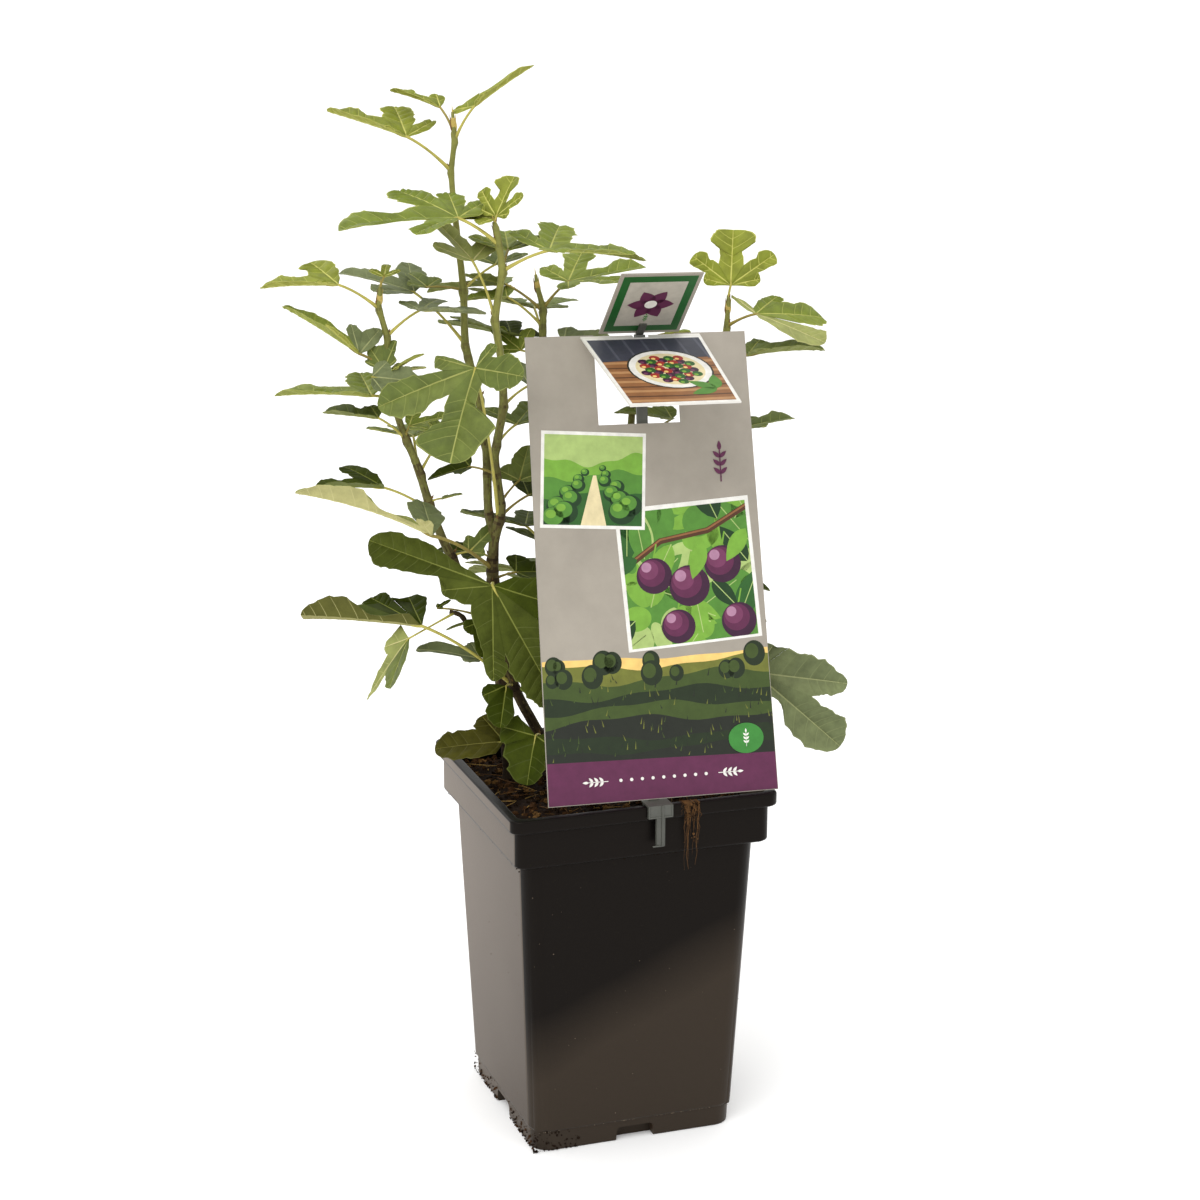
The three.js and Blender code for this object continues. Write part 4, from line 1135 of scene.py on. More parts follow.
def make_spur():
    """The short dark side twig."""
    foot, middle, tip = (Vector(p[:3]) for p in SPUR)
    steps = 10
    thick = [SPUR[0][3] + (SPUR[2][3] - SPUR[0][3]) * k / steps for k in range(steps + 1)]
    knobs = [r * (1 + 0.25 * math.sin(k * 2.1) ** 2) for k, r in enumerate(thick)]
    spur = Piece("side_spurs")
    spur.add(*tube(bezier(foot, middle, middle, tip, steps), knobs, 9), "bark_old")
    spur.make("bark", turn=PLANT_TURN)


def make_shoot_buds():
    """The pointed bud at each shoot's tip, with a small one at each side of it."""
    buds = Piece("shoot_buds")
    for course in COURSE.values():
        tip, before = Vector(course[-1][:3]), course[-2][:3]
        lean = Vector([a - b for a, b in zip(course[-1][:3], before)]).normalized()
        at = tip - lean * 9
        buds.add(*spindle(at, lean, 13, 1.7, 12, 14, 1.3), "bud")
        for side, kind in ((-1, "bud_brown"), (1, "bud")):
            start, way = at + Vector((0.7 * side, 0, -1)), lean + Vector((0.1 * side, 0, 0))
            buds.add(*spindle(start, way, 9, 1.05, 8, 8, 1.5), kind)
    buds.make("foliage", turn=PLANT_TURN)


make_leaves()
REPLACED = {
    "main": ["trunk"], "tall": ["bough_tall"], "left": ["stem_left", "bough_left"],
    "back": ["stem_back", "bough_back"], "middle": ["stem_middle"],
    "right": ["stem_right", "bough_right"], "low": ["stem_low"],
}
for shoot, replaced in REPLACED.items():
    make_shoot(shoot, replaced)
make_spur()
make_shoot_buds()


# ---------------------------------------------------------------- pot
def rounded_square(half, radius, z, steps=7):
    ring = []
    flat = half - radius
    for corner, (sx, sy) in enumerate(((1, 1), (-1, 1), (-1, -1), (1, -1))):
        for k in range(steps + 1):
            a = math.radians(90 * corner + 90 * k / steps)
            ring.append((sx * flat + radius * math.cos(a), sy * flat + radius * math.sin(a), z))
    return ring


def body_half(z):
    return BODY_FOOT_HALF + (BODY_TOP_HALF - BODY_FOOT_HALF) * z / BAND_FOOT


def make_pot():
    lip_foot = POT_HEIGHT - RIM_LIP
    outside = [
        (BODY_FOOT_HALF - 1.9, 10, 0), (BODY_FOOT_HALF - 1.2, 10.5, 0.3), (BODY_FOOT_HALF - 0.9, 11, 1.0),
        (body_half(FOOT_STEP) - 1.1, 11, FOOT_STEP - 0.6), (body_half(FOOT_STEP) - 0.9, 11, FOOT_STEP),
        (body_half(FOOT_STEP) - 0.15, 11, FOOT_STEP + 0.7), (body_half(FOOT_STEP), 11, FOOT_STEP + 1.4),
        (body_half(60), 11, 60), (body_half(120), 10.5, 120),
        (BODY_TOP_HALF - 0.2, 10, BAND_FOOT - 1.8), (BODY_TOP_HALF + 0.2, 10, BAND_FOOT - 0.8),
        (BAND_HALF - 0.9, CORNER, BAND_FOOT - 0.4), (BAND_HALF - 0.2, CORNER, BAND_FOOT + 0.2),
        (BAND_HALF, CORNER, BAND_FOOT + 1.1), (BAND_HALF, CORNER, lip_foot - 1.6),
        (BAND_HALF + 0.3, CORNER, lip_foot - 0.8), (RIM_HALF - 0.8, CORNER, lip_foot - 0.5),
        (RIM_HALF - 0.15, CORNER, lip_foot + 0.1), (RIM_HALF, CORNER, lip_foot + 0.9),
        (RIM_HALF, CORNER, POT_HEIGHT - 1.1), (RIM_HALF - 0.3, CORNER, POT_HEIGHT - 0.35),
        (RIM_HALF - 1.1, CORNER - 0.5, POT_HEIGHT),
    ]
    inside = [
        (BAND_HALF - WALL + 0.9, 5, POT_HEIGHT), (BAND_HALF - WALL + 0.2, 4.4, POT_HEIGHT - 0.3),
        (BAND_HALF - WALL, 4.2, POT_HEIGHT - 1), (BAND_HALF - WALL, 4.2, BAND_FOOT + 3),
        (BODY_TOP_HALF - WALL, 4.2, BAND_FOOT + 1),
        (body_half(NOTCH_HEIGHT + 4) - WALL, 4.2, NOTCH_HEIGHT + 4),
        (body_half(NOTCH_HEIGHT) - NOTCH_DEPTH, 4.2, NOTCH_HEIGHT + WALL),
        (body_half(FLOOR) - NOTCH_DEPTH, 4.2, FLOOR),
    ]
    rings = [rounded_square(*level) for level in outside + inside]
    pot = Piece("pot_shell")
    pot.add(*rings_closed(rings), "pot_black")
    shell = pot.make("pot", ["pot"])
    cut_notches(shell)
    # A pale film on the left wall: dust, and painted reflection of the light that falls on that side.
    shell.data.materials.append(FINISHES["pot_film"])
    for face in shell.data.polygons:
        if face.normal.x < -0.985:
            face.material_index = len(shell.data.materials) - 1
    shell.data.polygons.foreach_set("use_smooth", [True] * len(shell.data.polygons))
    edges = shell.modifiers.new("edges", "WEIGHTED_NORMAL")
    edges.keep_sharp = True
    shell.data.set_sharp_from_angle(angle=math.radians(50))


def cut_notches(shell):
    """The drain notch in the middle of each lower edge: an arch with rounded shoulders."""
    half, shoulder, steps = NOTCH_WIDTH / 2, 2.5, 6
    arch = [(half + 0.4, -1)]
    for k in range(steps + 1):
        a = math.radians(90 * k / steps)
        x, z = half - shoulder + shoulder * math.cos(a), NOTCH_HEIGHT - shoulder + shoulder * math.sin(a)
        arch.append((x, z))
    arch += [(-x, z) for x, z in reversed(arch)]
    near, far = -BODY_FOOT_HALF - 3, -BODY_FOOT_HALF + NOTCH_DEPTH - WALL
    cutters = Piece("notches")
    for side in range(4):
        turn = Matrix.Rotation(math.radians(90 * side), 3, "Z")
        points, faces = rings_closed([[turn @ Vector((x, y, z)) for x, z in arch] for y in (near, far)])
        cutters.add(points, [f[::-1] for f in faces], "pot_black")
    mesh = mesh_of("notches", cutters.points, cutters.faces)
    edit(mesh, lambda work: bmesh.ops.recalc_face_normals(work, faces=work.faces))
    tool = new_object("notches", mesh)
    cut = shell.modifiers.new("cut", "BOOLEAN")
    cut.operation, cut.solver, cut.object = "DIFFERENCE", "EXACT", tool
    graph = bpy.context.evaluated_depsgraph_get()
    done = bpy.data.meshes.new_from_object(shell.evaluated_get(graph))
    shell.modifiers.clear()
    shell.data = done
    bpy.data.objects.remove(tool)


make_pot()


# ---------------------------------------------------------------- soil, crumbs and fibres
SOIL_HALF = BAND_HALF - WALL - 0.6  # just inside the pot's wall
SOIL_CORNER = 4
SOIL_GRID = 96
SOIL_DEEP = 14
SOIL_LUMPS = ((1.5, 0.09, 3), (0.8, 0.3, 7), (0.5, 0.8, 1))  # (depth, fineness, seed)
SOIL_CRUMBS = 1500
SOIL_FIBRES = 230


def crumb(at, size, key):
    """A small uneven lump."""
    rings = []
    turn = Matrix.Rotation(6.28 * chance(key * 1.1), 3, "Z") @ Matrix.Rotation(3 * chance(key * 2.7), 3, "X")
    for level, (z, r) in enumerate(((-0.7, 0.6), (0.0, 1.0), (0.7, 0.55))):
        ring = []
        for i in range(5):
            a = 2 * math.pi * (i + 0.5 * level) / 5
            reach = r * (0.55 + 0.75 * chance(key + i * 1.9 + level * 7.7))
            place = (reach * math.cos(a), reach * math.sin(a) * 0.85, z * (0.75 + 0.5 * chance(key + i)))
            ring.append(Vector(at) + turn @ Vector(place) * size)
        rings.append(ring)
    return rings_closed(rings)


def fibre(at, length, thick, key, flat=0.25):
    bearing = 360 * chance(key)
    way = direction_of(bearing, 60 * (chance(key * 1.9) - 0.4) * flat)
    points = [Vector(at)]
    for k in range(6):
        bearing += 50 * (chance(key * 2.3 + k) - 0.5)
        rise = 40 * (chance(key + k * 3.1) - 0.5) * flat
        way = (way * 0.6 + direction_of(bearing, rise) * 0.4).normalized()
        points.append(points[-1] + way * length / 6)
    return tube(points, [thick * s for s in (0.5, 1, 1, 0.9, 0.8, 0.6, 0.3)], 5)


def soil_height(x, y):
    edge = max(abs(x), abs(y)) / SOIL_HALF
    settled = SOIL_SETTLED * max(0, edge - 0.72) / 0.28
    lumps = sum(deep * noise.noise(Vector((x * fine, y * fine, seed))) for deep, fine, seed in SOIL_LUMPS)
    return SOIL_TOP - settled + lumps * (1 - max(0, edge - 0.9) * 5)


def soil_point(x, y):
    """A point of the soil's surface; one beyond a rounded corner is drawn in to it."""
    flat = SOIL_HALF - SOIL_CORNER
    ax, ay = abs(x) - flat, abs(y) - flat
    if ax > 0 and ay > 0 and math.hypot(ax, ay) > SOIL_CORNER:
        s = SOIL_CORNER / math.hypot(ax, ay)
        x = math.copysign(flat + ax * s, x)
        y = math.copysign(flat + ay * s, y)
    return x, y, soil_height(x, y)


def make_soil():
    count, n = SOIL_GRID, SOIL_GRID + 1
    steps = [(2 * i / count - 1) * SOIL_HALF for i in range(n)]
    points = [soil_point(x, y) for y in steps for x in steps]
    faces = [(a, a + 1, a + 1 + n, a + n) for j in range(count) for a in range(j * n, j * n + count)]
    border = list(range(n)) + [j * n + count for j in range(1, n)]
    border += [count * n + i for i in range(count - 1, -1, -1)] + [j * n for j in range(count - 1, 0, -1)]
    base, m = len(points), len(border)
    points += [(points[i][0] * 0.99, points[i][1] * 0.99, SOIL_TOP - SOIL_DEEP) for i in border]
    faces += [(border[(k + 1) % m], border[k], base + k, base + (k + 1) % m) for k in range(m)]
    faces.append(tuple(base + k for k in range(m - 1, -1, -1)))
    soil = Piece("soil_surface")
    soil.add(points, faces, "peat_dark")
    soil.make("soil", ["soil"], weld=0.001)


def scatter_peat():
    """Crumbs and fibres all over the soil."""
    crumbs, fibres = Piece("soil_crumbs"), Piece("soil_fibres")
    reach = SOIL_HALF - 3
    for k in range(SOIL_CRUMBS):
        x, y = swing(k * 1.13) * reach, swing(k * 2.17 + 5) * reach
        size = 0.7 + 2.3 * chance(k * 0.71) ** 3
        kind = ("peat_dark", "peat_brown", "peat_brown", "peat_dark", "peat_light")[int(5 * chance(k * 3.3))]
        crumbs.add(*crumb((x, y, soil_height(x, y) + size * 0.25), size, k * 0.37), kind)
    for k in range(SOIL_FIBRES):
        x, y = swing(k * 1.77 + 3) * (reach - 8), swing(k * 2.91) * (reach - 8)
        kind = ("root", "peat_light", "straw", "root")[int(4 * chance(k * 1.3))]
        at = (x, y, soil_height(x, y) + 0.7)
        fibres.add(*fibre(at, 6 + 16 * chance(k * 4.1), 0.16 + 0.2 * chance(k * 5.3), k * 0.53), kind)
    crumbs.make("soil", smooth=False)
    fibres.make("soil")


make_soil()
scatter_peat()


# ---------------------------------------------------------------- picture card
CARD_FOOT = (12, -68, 201.5)
CARD_YAW, CARD_LEAN, CARD_ROLL = -2, 16, -1
CARD_HEIGHT, CARD_LOWER, CARD_UPPER, CARD_THICK = 249, 129.5, 123.5, 0.9
FOLD = 1
PLATE_WIDTH, PLATE_LENGTH, PLATE_TILT, PLATE_MIDDLE = 45, 53, 62, 1.5
FLAP_TOP, FLAP_BOTTOM, FLAP_LENGTH, FLAP_TILT, FLAP_MIDDLE = 67, 60, 82, 122, 2
LAYER = 0.006  # each printed layer over the last
MEADOW_HALF = 66
GRASSES = 150


def turn_about(axis, degrees):
    return Matrix.Rotation(math.radians(degrees), 4, axis)


CARD_PLANE = (
    Matrix.Translation(CARD_FOOT) @ turn_about("Z", CARD_YAW) @ turn_about("X", 90 - CARD_LEAN)
    @ turn_about("Z", CARD_ROLL)
)


def folded_out(x, y, tilt):
    """The plane of a part of the card that is folded out of it, from the crease's place on the card."""
    return CARD_PLANE @ Matrix.Translation((x, y, FOLD)) @ turn_about("X", tilt)


def double_area(outline):
    """Twice an outline's area, above 0 where it runs anticlockwise."""
    return sum(a[0] * b[1] - b[0] * a[1] for a, b in zip(outline, outline[1:] + outline[:1]))


def clipped(outline, window):
    """The part of an outline that lies inside a convex window; both are lists of (x, y)."""
    result = outline
    if double_area(window) < 0:
        window = window[::-1]
    for a, b in zip(window, window[1:] + window[:1]):
        def inside(p, a=a, b=b):
            return (b[0] - a[0]) * (p[1] - a[1]) - (b[1] - a[1]) * (p[0] - a[0])

        source, result = result, []
        for p, q in zip(source, source[1:] + source[:1]):
            dp, dq = inside(p), inside(q)
            if dp >= 0:
                result.append(p)
            if (dp >= 0) != (dq >= 0):
                t = dp / (dp - dq)
                result.append((p[0] + (q[0] - p[0]) * t, p[1] + (q[1] - p[1]) * t))
        if len(result) < 3:
            return []
    return result


def laid(points, x, y, turn):
    """Points turned by degrees and moved to x, y."""
    a = math.radians(turn)
    return [(x + u * math.cos(a) - v * math.sin(a), y + u * math.sin(a) + v * math.cos(a)) for u, v in points]


def rectangle(x0, y0, x1, y1, turn=0):
    x, y = (x0 + x1) / 2, (y0 + y1) / 2
    return laid([(x0 - x, y0 - y), (x1 - x, y0 - y), (x1 - x, y1 - y), (x0 - x, y1 - y)], x, y, turn)


def oval(x, y, rx, ry, turn=0, steps=28):
    angles = [2 * math.pi * k / steps for k in range(steps)]
    return laid([(rx * math.cos(t), ry * math.sin(t)) for t in angles], x, y, turn)


def leaf_shape(x, y, length, width, turn):
    """A pointed oval leaf from its foot at x, y."""
    steps = 9
    shares = [k / steps for k in range(steps + 1)]
    left = [(length * t, width / 2 * math.sin(math.pi * t ** 0.8) ** 0.9) for t in shares]
    right = [(u, -v) for u, v in left[-2:0:-1]]
    return laid(left + right, x, y, turn)


def stroke(points, width):
    """A ribbon along points."""
    left, right = [], []
    for k, (x, y) in enumerate(points):
        before, after = points[max(k - 1, 0)], points[min(k + 1, len(points) - 1)]
        dx, dy = after[0] - before[0], after[1] - before[1]
        size = math.hypot(dx, dy)
        left.append((x - dy / size * width / 2, y + dx / size * width / 2))
        right.append((x + dy / size * width / 2, y - dx / size * width / 2))
    return left + right[::-1]


def hills(x0, x1, foot, crest, swell, key):
    """A band of rolling ground."""
    steps = 24
    top = []
    for k in range(steps + 1):
        rise = swell * math.sin(key + k * 0.31)
        top.append((x0 + (x1 - x0) * k / steps, crest + rise + 0.4 * swell * math.sin(2.1 * key + k * 0.83)))
    return [(x0, foot), (x1, foot)] + top[::-1]


class Print:
    """Printed shapes on one flat surface, each laid over the last."""

    def __init__(self, piece, plane, side=1):
        self.piece, self.plane, self.side = piece, plane, side
        self.layer = 1
        self.tone = None
        self.window = None

    def ink(self, outline, name):
        if self.window:
            outline = clipped(outline, self.window)
        if len(outline) < 3:
            return
        if name != self.tone:
            self.tone = name
            self.layer += 1
        under = (CARD_THICK / 2 - 0.1) * self.side
        over = (CARD_THICK / 2 + 0.02 + LAYER * self.layer) * self.side
        rings = [[self.plane @ Vector((x, y, z)) for x, y in outline] for z in (under, over)]
        points, faces = rings_closed(rings)
        if (double_area(outline) < 0) != (self.side < 0):
            faces = [f[::-1] for f in faces]
        self.piece.add(points, faces, "ink_" + name)

    def picture(self, outline, share_x, share_y, ground, middle=None):
        """A picture with a pale border. What is inked after it is kept inside the border.

        Returns the picture's left, foot, width and height.
        """
        cx, cy = middle or [sum(p[i] for p in outline) / len(outline) for i in (0, 1)]
        inner = [((x - cx) * share_x + cx, (y - cy) * share_y + cy) for x, y in outline]
        self.window = None
        self.ink(outline, "white")
        self.window = inner
        self.ink(inner, ground)
        (left, right), (foot, top) = ((min(values), max(values)) for values in zip(*inner))
        return left, foot, right - left, top - foot

    def ovals(self, places, layers):
        """Shaded round things (x, y, radius). A layer is (right, up, half width, half height, tone)."""
        for right, up, wide, tall, tone in layers:
            for x, y, r in places:
                self.ink(oval(x + r * right, y + r * up, r * wide, r * tall), tone)

    def balls(self, places, tones, turn):
        """Round fruits (x, y, radius): ovals from the dark rim to the shine."""
        for k, tone in enumerate(tones):
            share = 1 - 0.24 * k
            for x, y, r in places:
                self.ink(oval(x - 0.14 * r * k, y + 0.16 * r * k, r * share, r * 0.96 * share, turn), tone)

    def sprig(self, x, y, size, turn, tone):
        """A small stem with pairs of leaves."""
        self.ink(stroke([(x, y), *laid([(size, 0)], x, y, turn)], size * 0.035), tone)
        leaves = [(0.25 + 0.26 * k, spread) for k in range(3) for spread in (-48, 48)] + [(1, 0)]
        for t, spread in leaves:
            foot = laid([(size * t, 0)], x, y, turn)[0]
            self.ink(leaf_shape(*foot, size * 0.3, size * 0.13, turn + spread), tone)


def orchard_picture(page, outline):
    """Round plums among oval leaves on a branch."""
    x0, y0, wide, tall = page.picture(outline, 0.945, 0.95, "leaf_mid", (22, 110))
    tones = ("haze", "leaf_bright", "leaf_mid", "leaf_deep", "leaf_bright", "leaf_shade", "leaf_mid")
    for k in sorted(range(30), key=lambda k: k % 3):
        x, y = x0 + wide * chance(k * 1.9 + 2), y0 + tall * chance(k * 2.7 + 1)
        page.ink(oval(x, y, 4 + 9 * chance(k * 3.3), 4 + 7 * chance(k * 1.1), 40 * chance(k)), tones[k % 3])
    for shade in range(7):
        ribs = []
        for k in range(shade, 28, 7):
            x, y = x0 + wide * chance(k * 1.3 + 8), y0 + tall * chance(k * 2.1 + 4)
            turn, size = 360 * chance(k * 1.7), 20 + 14 * chance(k * 2.9)
            page.ink(leaf_shape(x, y, size, size * 0.46, turn), tones[(shade * 3) % 7])
            ribs.append([(x, y), *laid([(size * 0.85, 0)], x, y, turn)])
        for rib in ribs:
            page.ink(stroke(rib, 0.5), "haze")
    branch = [
        (x0 - 3, y0 + tall * 0.52), (x0 + wide * 0.3, y0 + tall * 0.74), (x0 + wide * 0.66, y0 + tall * 0.8),
        (x0 + wide + 3, y0 + tall),
    ]
    page.ink(stroke(branch, 3.2), "wood_dark")
    page.ink(stroke([(x, y + 0.7) for x, y in branch], 1), "wood")
    places = ((0.24, 0.5, 10), (0.5, 0.42, 11.5), (0.76, 0.56, 10.5), (0.4, 0.14, 9.5), (0.86, 0.16, 10))
    plums = [(x0 + wide * right, y0 + tall * up, r) for right, up, r in places]
    for x, y, r in plums:
        page.ink(stroke([(x, y + r * 0.9), (x + 2, y + r * 0.9 + 8)], 0.9), "leaf_bright")
    page.balls(plums, ("plum", "purple", "plum_light", "plum_shine"), 10)
    for right, up, turn, tone in (
        (0.62, 0.72, 250, "leaf_bright"), (0.12, 0.62, 200, "leaf_deep"), (0.95, 0.8, 235, "leaf_bright")
    ):
        page.ink(leaf_shape(x0 + wide * right, y0 + tall * up, 21, 9.5, turn), tone)


def garden_picture(page, outline):
    """A path between round bushes, under a pale sky."""
    x0, y0, wide, tall = page.picture(outline, 0.94, 0.93, "haze")
    for crest, swell, key, tone in (
        (0.7, 2.5, 1.0, "leaf_bright"), (0.55, 2, 2.6, "leaf_mid"), (0.36, 1.5, 4.2, "leaf_deep")
    ):
        page.ink(hills(x0, x0 + wide, y0, y0 + tall * crest, swell, key), tone)
    path = ((0.34, 0), (0.6, 0), (0.53, 0.55), (0.5, 0.55))
    page.ink([(x0 + wide * right, y0 + tall * up) for right, up in path], "cream")
    bushes = []
    for k in range(16):
        depth = k / 15
        side = -1 if k % 2 else 1
        x = x0 + wide * (0.5 + side * (0.46 - 0.36 * (1 - depth)) * (0.5 + 0.5 * chance(k * 1.4 + 1)))
        bushes.append((x, y0 + tall * (0.62 - 0.5 * depth), 2 + 6 * depth))
    layers = (
        (0, 0, 1, 0.85, "leaf_shade"), (-0.15, 0.2, 0.72, 0.6, "leaf_mid"),
        (-0.3, 0.36, 0.36, 0.28, "leaf_bright"),
    )
    for k in range(0, 16, 4):
        page.ovals(bushes[k:k + 4], layers)


def kitchen_picture(page, outline):
    """A bowl of berries on a table, half on a dark striped cloth."""
    page.picture(outline, 0.95, 0.95, "wood")
    for start, width, tone in ((6, 1.2, "wood_dark"), (11, 2.6, "wood_light")):
        for y in range(start, start + 77, 11):
            page.ink(stroke([(-40, y), (0, y + 1), (40, y)], width), tone)
    page.ink(rectangle(-44, -6, 44, 30, -3), "slate")
    for k in range(9):
        page.ink(rectangle(-42 + 10 * k, -6, -40.6 + 10 * k, 30, -3), "slate_light")
    for radius, tone in ((23, "night"), (22, "white"), (18.5, "cream")):
        page.ink(oval(4, 42, radius, radius), tone)
    skins = (("plum", "plum_light"), ("red", "glow"), ("leaf_deep", "leaf_bright"))
    for kind, (skin, shine) in enumerate(skins):
        berries = []
        for k in range(kind, 34, 3):
            a, r = math.radians(GOLDEN * k), 15.5 * math.sqrt((k + 0.5) / 34)
            berries.append((4 + r * math.cos(a), 42 + r * math.sin(a)))
        for x, y in berries:
            page.ink(oval(x, y, 2.9, 2.9, steps=14), skin)
        for x, y in berries:
            page.ink(oval(x - 0.8, y + 0.8, 1.2, 1.2, steps=10), shine)
    for turn in (160, 215, 280):
        page.ink(leaf_shape(22, 66, 16, 7, turn), "leaf_mid")


def meadow(page, window):
    """Dark rolling grass with round trees and a low light, along the card's lower part."""
    page.window = window
    x0, wide = -MEADOW_HALF, 2 * MEADOW_HALF
    bands = (
        ("glow", 76, 1.0, 0.4), ("lawn_light", 72, 2.2, 1.1), ("lawn", 65, 2.6, 2.3),
        ("lawn_dark", 57, 2.4, 3.1), ("lawn", 50, 2.2, 4.4), ("night", 43, 2.4, 5.2),
        ("lawn_dark", 34, 2.0, 0.8), ("night", 27, 1.6, 2.0),
    )
    for k, (tone, crest, swell, key) in enumerate(bands):
        page.ink(hills(x0, x0 + wide, 0, crest, swell, key), tone)
        if k in (1, 2):
            trees = [
                (x0 + wide * chance(i * 2.3 + k), crest, 3.5 + 3 * chance(i * 1.7 + k)) for i in range(7)
            ]
            page.ovals(trees, ((0, 0.4, 1, 1.1, "lawn_dark"), (-0.2, 0.6, 0.6, 0.65, "lawn")))
    for k in sorted(range(GRASSES), key=lambda k: k % 3):
        x, y = x0 + wide * chance(k * 1.31), 22 + 44 * chance(k * 2.57)
        tall = 2 + 3 * chance(k * 3.7)
        lean = 3 * (chance(k * 0.9) - 0.5)
        tone = ("lawn_light", "lawn", "night")[k % 3]
        page.ink([(x - 0.35, y), (x + 0.35, y), (x + lean, y + tall)], tone)
    page.window = None


def card_band(low, high, slant=0):
    """A band across the card between two heights. Its upper edge falls to the right by slant."""
    half_low, half_high = (
        (CARD_LOWER + (CARD_UPPER - CARD_LOWER) * v / CARD_HEIGHT) / 2 - 0.3 for v in (low, high)
    )
    return [(-half_low, low), (half_low, low), (half_high, high - slant), (-half_high, high)]


def print_card():
    face = Piece("card_print")
    page = Print(face, CARD_PLANE)
    meadow(page, card_band(0.4, 98))
    page.ink(card_band(0.4, 23, 2.5), "purple")
    orchard_picture(page, [(-15, 79), (61, 83.5), (57.5, 160), (-18.5, 155.5)])
    garden_picture(page, [(-60, 148), (-2, 144), (2, 195.5), (-56, 199.5)])
    page.window = None
    page.ink(oval(48, 29, 10, 8.2), "badge")
    page.sprig(48, 24.5, 7.5, 90, "white")
    for k in range(9):
        page.ink(oval(-24 + 6 * k, 11.5, 0.9, 0.9, steps=12), "white")
    page.sprig(-31, 11.5, 11, 180, "white")
    page.sprig(31, 11.5, 11, 0, "white")
    page.sprig(43, 168, 17, 90, "purple")
    face.make("card", smooth=False)


def print_flap():
    flap = Piece("flap_print")
    page = Print(flap, folded_out(FLAP_MIDDLE, CARD_HEIGHT - FOLD, FLAP_TILT), -1)
    top, bottom, end = FLAP_TOP / 2 - 0.4, FLAP_BOTTOM / 2 - 0.4, FLAP_LENGTH - 0.4
    kitchen_picture(page, [(-top, 3), (top, 3), (bottom, end), (-bottom, end)])
    flap.make("card", smooth=False)


def print_plate():
    plate = Piece("plate_print")
    page = Print(plate, folded_out(PLATE_MIDDLE, CARD_HEIGHT + FOLD, PLATE_TILT))
    half = PLATE_WIDTH / 2
    page.ink(rectangle(-half + 2, 2, half - 2, PLATE_LENGTH - 2), "frame_green")
    page.ink(rectangle(-half + 6.5, 7, half - 6.5, PLATE_LENGTH - 7), "grey_light")
    for turn in range(0, 360, 60):
        page.ink(leaf_shape(0, 26, 13, 8.5, turn), "purple")
    page.ink(oval(0, 26, 3.4, 3.4), "white")
    page.sprig(0, 10, 6, 90, "badge")
    plate.make("card", smooth=False)


def add_bar(piece, low, high, bevel):
    """A box with its long edges taken off, from its low corner to its high one."""
    (x0, y0, z0), (x1, y1, z1) = low, high
    rings = []
    for z, inset in ((z0, bevel), (z0 + bevel, 0), (z1 - bevel, 0), (z1, bevel)):
        a, b, c = x0 + inset, x1 - inset, y0 + inset
        ring = ((a + bevel, c), (b - bevel, c), (b, c + bevel), (b, y1), (a, y1), (a, c + bevel))
        rings.append([(x, y, z) for x, y in ring])
    piece.add(*rings_closed(rings), "holder_plastic")


def make_clip_ribs():
    """The moulded ribs on the clip that holds the card, and the small hook at its prong's end."""
    ribs = Piece("clip_ribs")
    skirt, top = -RIM_HALF - 0.3 - 1.6, POT_HEIGHT + 0.3 + 0.9
    for x, wide, deep, high, low in (
        (7.3, 1.1, 0.7, 0.2, 22.6), (-0.2, 0.9, 0.4, 0.3, 6.8), (12.8, 0.9, 0.4, 0.3, 6.8),
        (4.2, 0.6, 0.4, 6.5, 22.6),
    ):
        add_bar(ribs, (x - wide / 2, skirt - deep, top - low), (x + wide / 2, skirt + 0.3, top - high), 0.15)
    add_bar(ribs, (-0.6, skirt - 0.35, top - 7), (13.2, skirt + 0.3, top - 6.1), 0.12)
    add_bar(ribs, (1.8, skirt - 0.6, top - 23), (8.2, skirt + 0.3, top - 22.3), 0.15)
    ribs.make("holder")


print_card()
print_flap()
print_plate()
make_clip_ribs()
for node, name in (("card", "card_grey"), ("card_flap", "card_back"), ("card_plate", "card_grey"),
                   ("card_holder", "holder_plastic")):
    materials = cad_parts[node].data.materials
    materials.clear()
    materials.append(FINISHES[name])


# ---------------------------------------------------------------- peat on the pot
FOOT_CRUMBS = 300
BAND_CRUMBS = 90
WALL_SPECKS = 46
LEDGE_SPECKS = 110
RIM_ROOTS = 26
ROOT_CRUMBS = 40


def on_wall(half, share, z, left):
    """A place on the pot's left or front wall, by its share of the half width."""
    return (-half, share * half, z) if left else (share * half, -half, z)


def foot_crumb(k, size):
    """A crumb's place on the pot's foot: two in three on its left side, the rest on its front.

    It is None where the left side's notch is.
    """
    along = swing(k * 1.37)
    if k % 3 == 0:
        x, y = -BODY_FOOT_HALF + 26 * chance(k * 1.9) ** 2, -BODY_FOOT_HALF + 0.7
        return x, y, size + 12 * chance(k * 2.1) ** 2.2
    if abs(along * BODY_FOOT_HALF) < NOTCH_WIDTH / 2 + 1:
        return None
    return -BODY_FOOT_HALF + 0.6, BODY_FOOT_HALF * 0.95 * along, size + 11 * chance(k * 2.9) ** 2.6


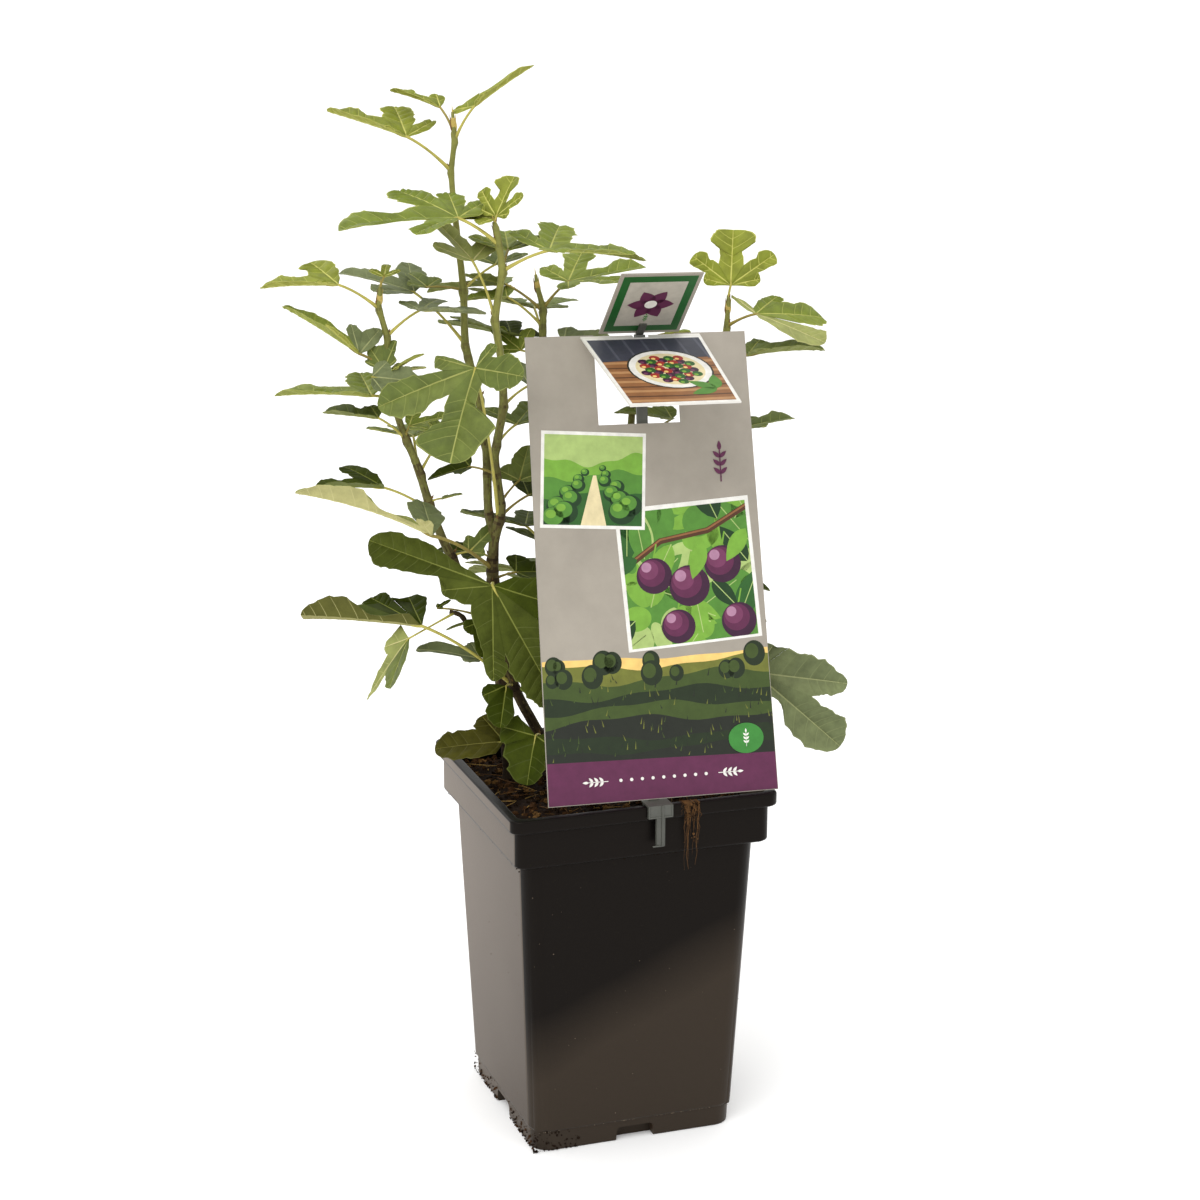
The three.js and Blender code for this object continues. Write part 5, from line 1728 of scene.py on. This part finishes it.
def make_pot_crumbs():
    """Crumbs on the pot's foot and under its band."""
    crumbs = Piece("pot_crumbs")
    for k in range(FOOT_CRUMBS):
        size = 0.3 + 0.75 * chance(k * 0.77) ** 2.4
        at = foot_crumb(k, size)
        if at:
            crumbs.add(*crumb(at, size, k * 0.61), ("peat_dark", "peat_brown", "peat_dark")[k % 3])
    for k in range(BAND_CRUMBS):
        x, y, z = on_wall(BAND_HALF, swing(k * 1.9), BAND_FOOT - 1.2 + 2.2 * chance(k * 2.3), k % 2 == 0)
        size = 0.2 + 0.35 * chance(k * 0.9) ** 2
        crumbs.add(*crumb((x * 0.985, y * 0.985, z), size, k * 0.43), "peat_dark")
    crumbs.make("soil", smooth=False)


def make_specks():
    """Dust on the pot's walls and on the ledge over its foot."""
    dust = Piece("pot_specks")
    for k in range(WALL_SPECKS):
        share, z = 1.9 * chance(k * 1.3) - 0.95, 14 + 150 * chance(k * 2.9)
        at = on_wall(body_half(z) - 0.02, share, z, k % 3 == 0)
        dust.add(*crumb(at, 0.16 + 0.26 * chance(k * 1.7) ** 2, k * 0.7), "pot_dust")
    for k in range(LEDGE_SPECKS):
        at = on_wall(body_half(FOOT_STEP) - 0.55, 1.9 * chance(k * 1.1) - 0.95, FOOT_STEP + 0.1, k % 2)
        dust.add(*crumb(at, 0.2 + 0.2 * chance(k * 1.7), k * 0.9), "pot_dust")
    dust.make("soil", smooth=False)


def make_rim_roots():
    """Roots hanging over the rim beside the clip, with crumbs among them."""
    roots = Piece("rim_roots")
    front = -RIM_HALF - 0.35
    for k in range(RIM_ROOTS):
        x = 19 + 10 * chance(k * 1.7)
        drop = 6 + 34 * chance(k * 2.9) ** 1.8
        points = [
            (x - 1, front + 9, POT_HEIGHT - 4), (x, front + 4, POT_HEIGHT + 0.6),
            (x + 0.5, front - 0.1, POT_HEIGHT + 0.2),
        ]
        for i in range(1, 6):
            z = POT_HEIGHT - drop * i / 5
            lean = 1.6 * i / 5 if z < POT_HEIGHT - RIM_LIP else 0
            right = x + 0.5 + 1.9 * (chance(k + i * 1.3) - 0.5) + 0.5 * i * (chance(k * 0.7) - 0.3)
            points.append((right, front - 0.2 + lean, z))
        thick = 0.09 + 0.13 * chance(k * 3.1) ** 2
        roots.add(*tube(points, [thick] * 5 + [thick * 0.8, thick * 0.6, thick * 0.4], 6), "root")
    for k in range(ROOT_CRUMBS):
        at = (20 + 9 * chance(k * 1.1), front - 0.3, POT_HEIGHT - 22 * chance(k * 2.3) ** 1.6)
        size = 0.3 + 0.6 * chance(k * 1.9) ** 2
        roots.add(*crumb(at, size, k), ("peat_brown", "peat_dark", "root")[k % 3])
    roots.make("soil")


make_pot_crumbs()
make_specks()
make_rim_roots()


# ---------------------------------------------------------------- floor and light
FLOOR_HALF = 80  # in metres
LIGHT_AIM = (0, 0, 0.32)


def make_floor():
    far = FLOOR_HALF
    plane = bpy.data.meshes.new("floor")
    plane.from_pydata([(-far, -far, 0), (far, -far, 0), (far, far, 0), (-far, far, 0)], [], [(0, 1, 2, 3)])
    pale = bpy.data.materials.new("floor_pale")
    pale.use_nodes = True
    shader = pale.node_tree.nodes["Principled BSDF"]
    shader.inputs["Base Color"].default_value = (0.93, 0.93, 0.93, 1)
    shader.inputs["Roughness"].default_value = 0.8
    shader.inputs["Emission Color"].default_value = (1, 1, 1, 1)
    shader.inputs["Emission Strength"].default_value = 0.1
    plane.materials.append(pale)
    floor = new_object("floor", plane)


def make_world():
    world = bpy.data.worlds.new("studio")
    world.use_nodes = True
    world.node_tree.nodes["Background"].inputs["Color"].default_value = (1, 0.995, 0.985, 1)
    world.node_tree.nodes["Background"].inputs["Strength"].default_value = 1.0
    bpy.context.scene.world = world


def make_lights():
    for name, at, size, power in (("key", (-1.1, -1.2, 1.7), 1.2, 9), ("rear", (-0.4, 1.6, 1.6), 1.4, 6)):
        lamp = bpy.data.lights.new(name, "AREA")
        lamp.size, lamp.energy = size, power
        thing = new_object(name, lamp)
        thing.location = at
        thing.rotation_euler = (Vector(LIGHT_AIM) - Vector(at)).to_track_quat("-Z", "Y").to_euler()
    sky = bpy.data.lights.new("sky", "SUN")
    sky.energy, sky.angle = 0.85, math.radians(60)
    new_object("sky", sky).rotation_euler = direction_of(-125, 62).to_track_quat("Z", "Y").to_euler()


make_floor()
make_world()
make_lights()
bpy.context.scene.view_settings.view_transform = "Standard"

bpy.context.view_layer.update()
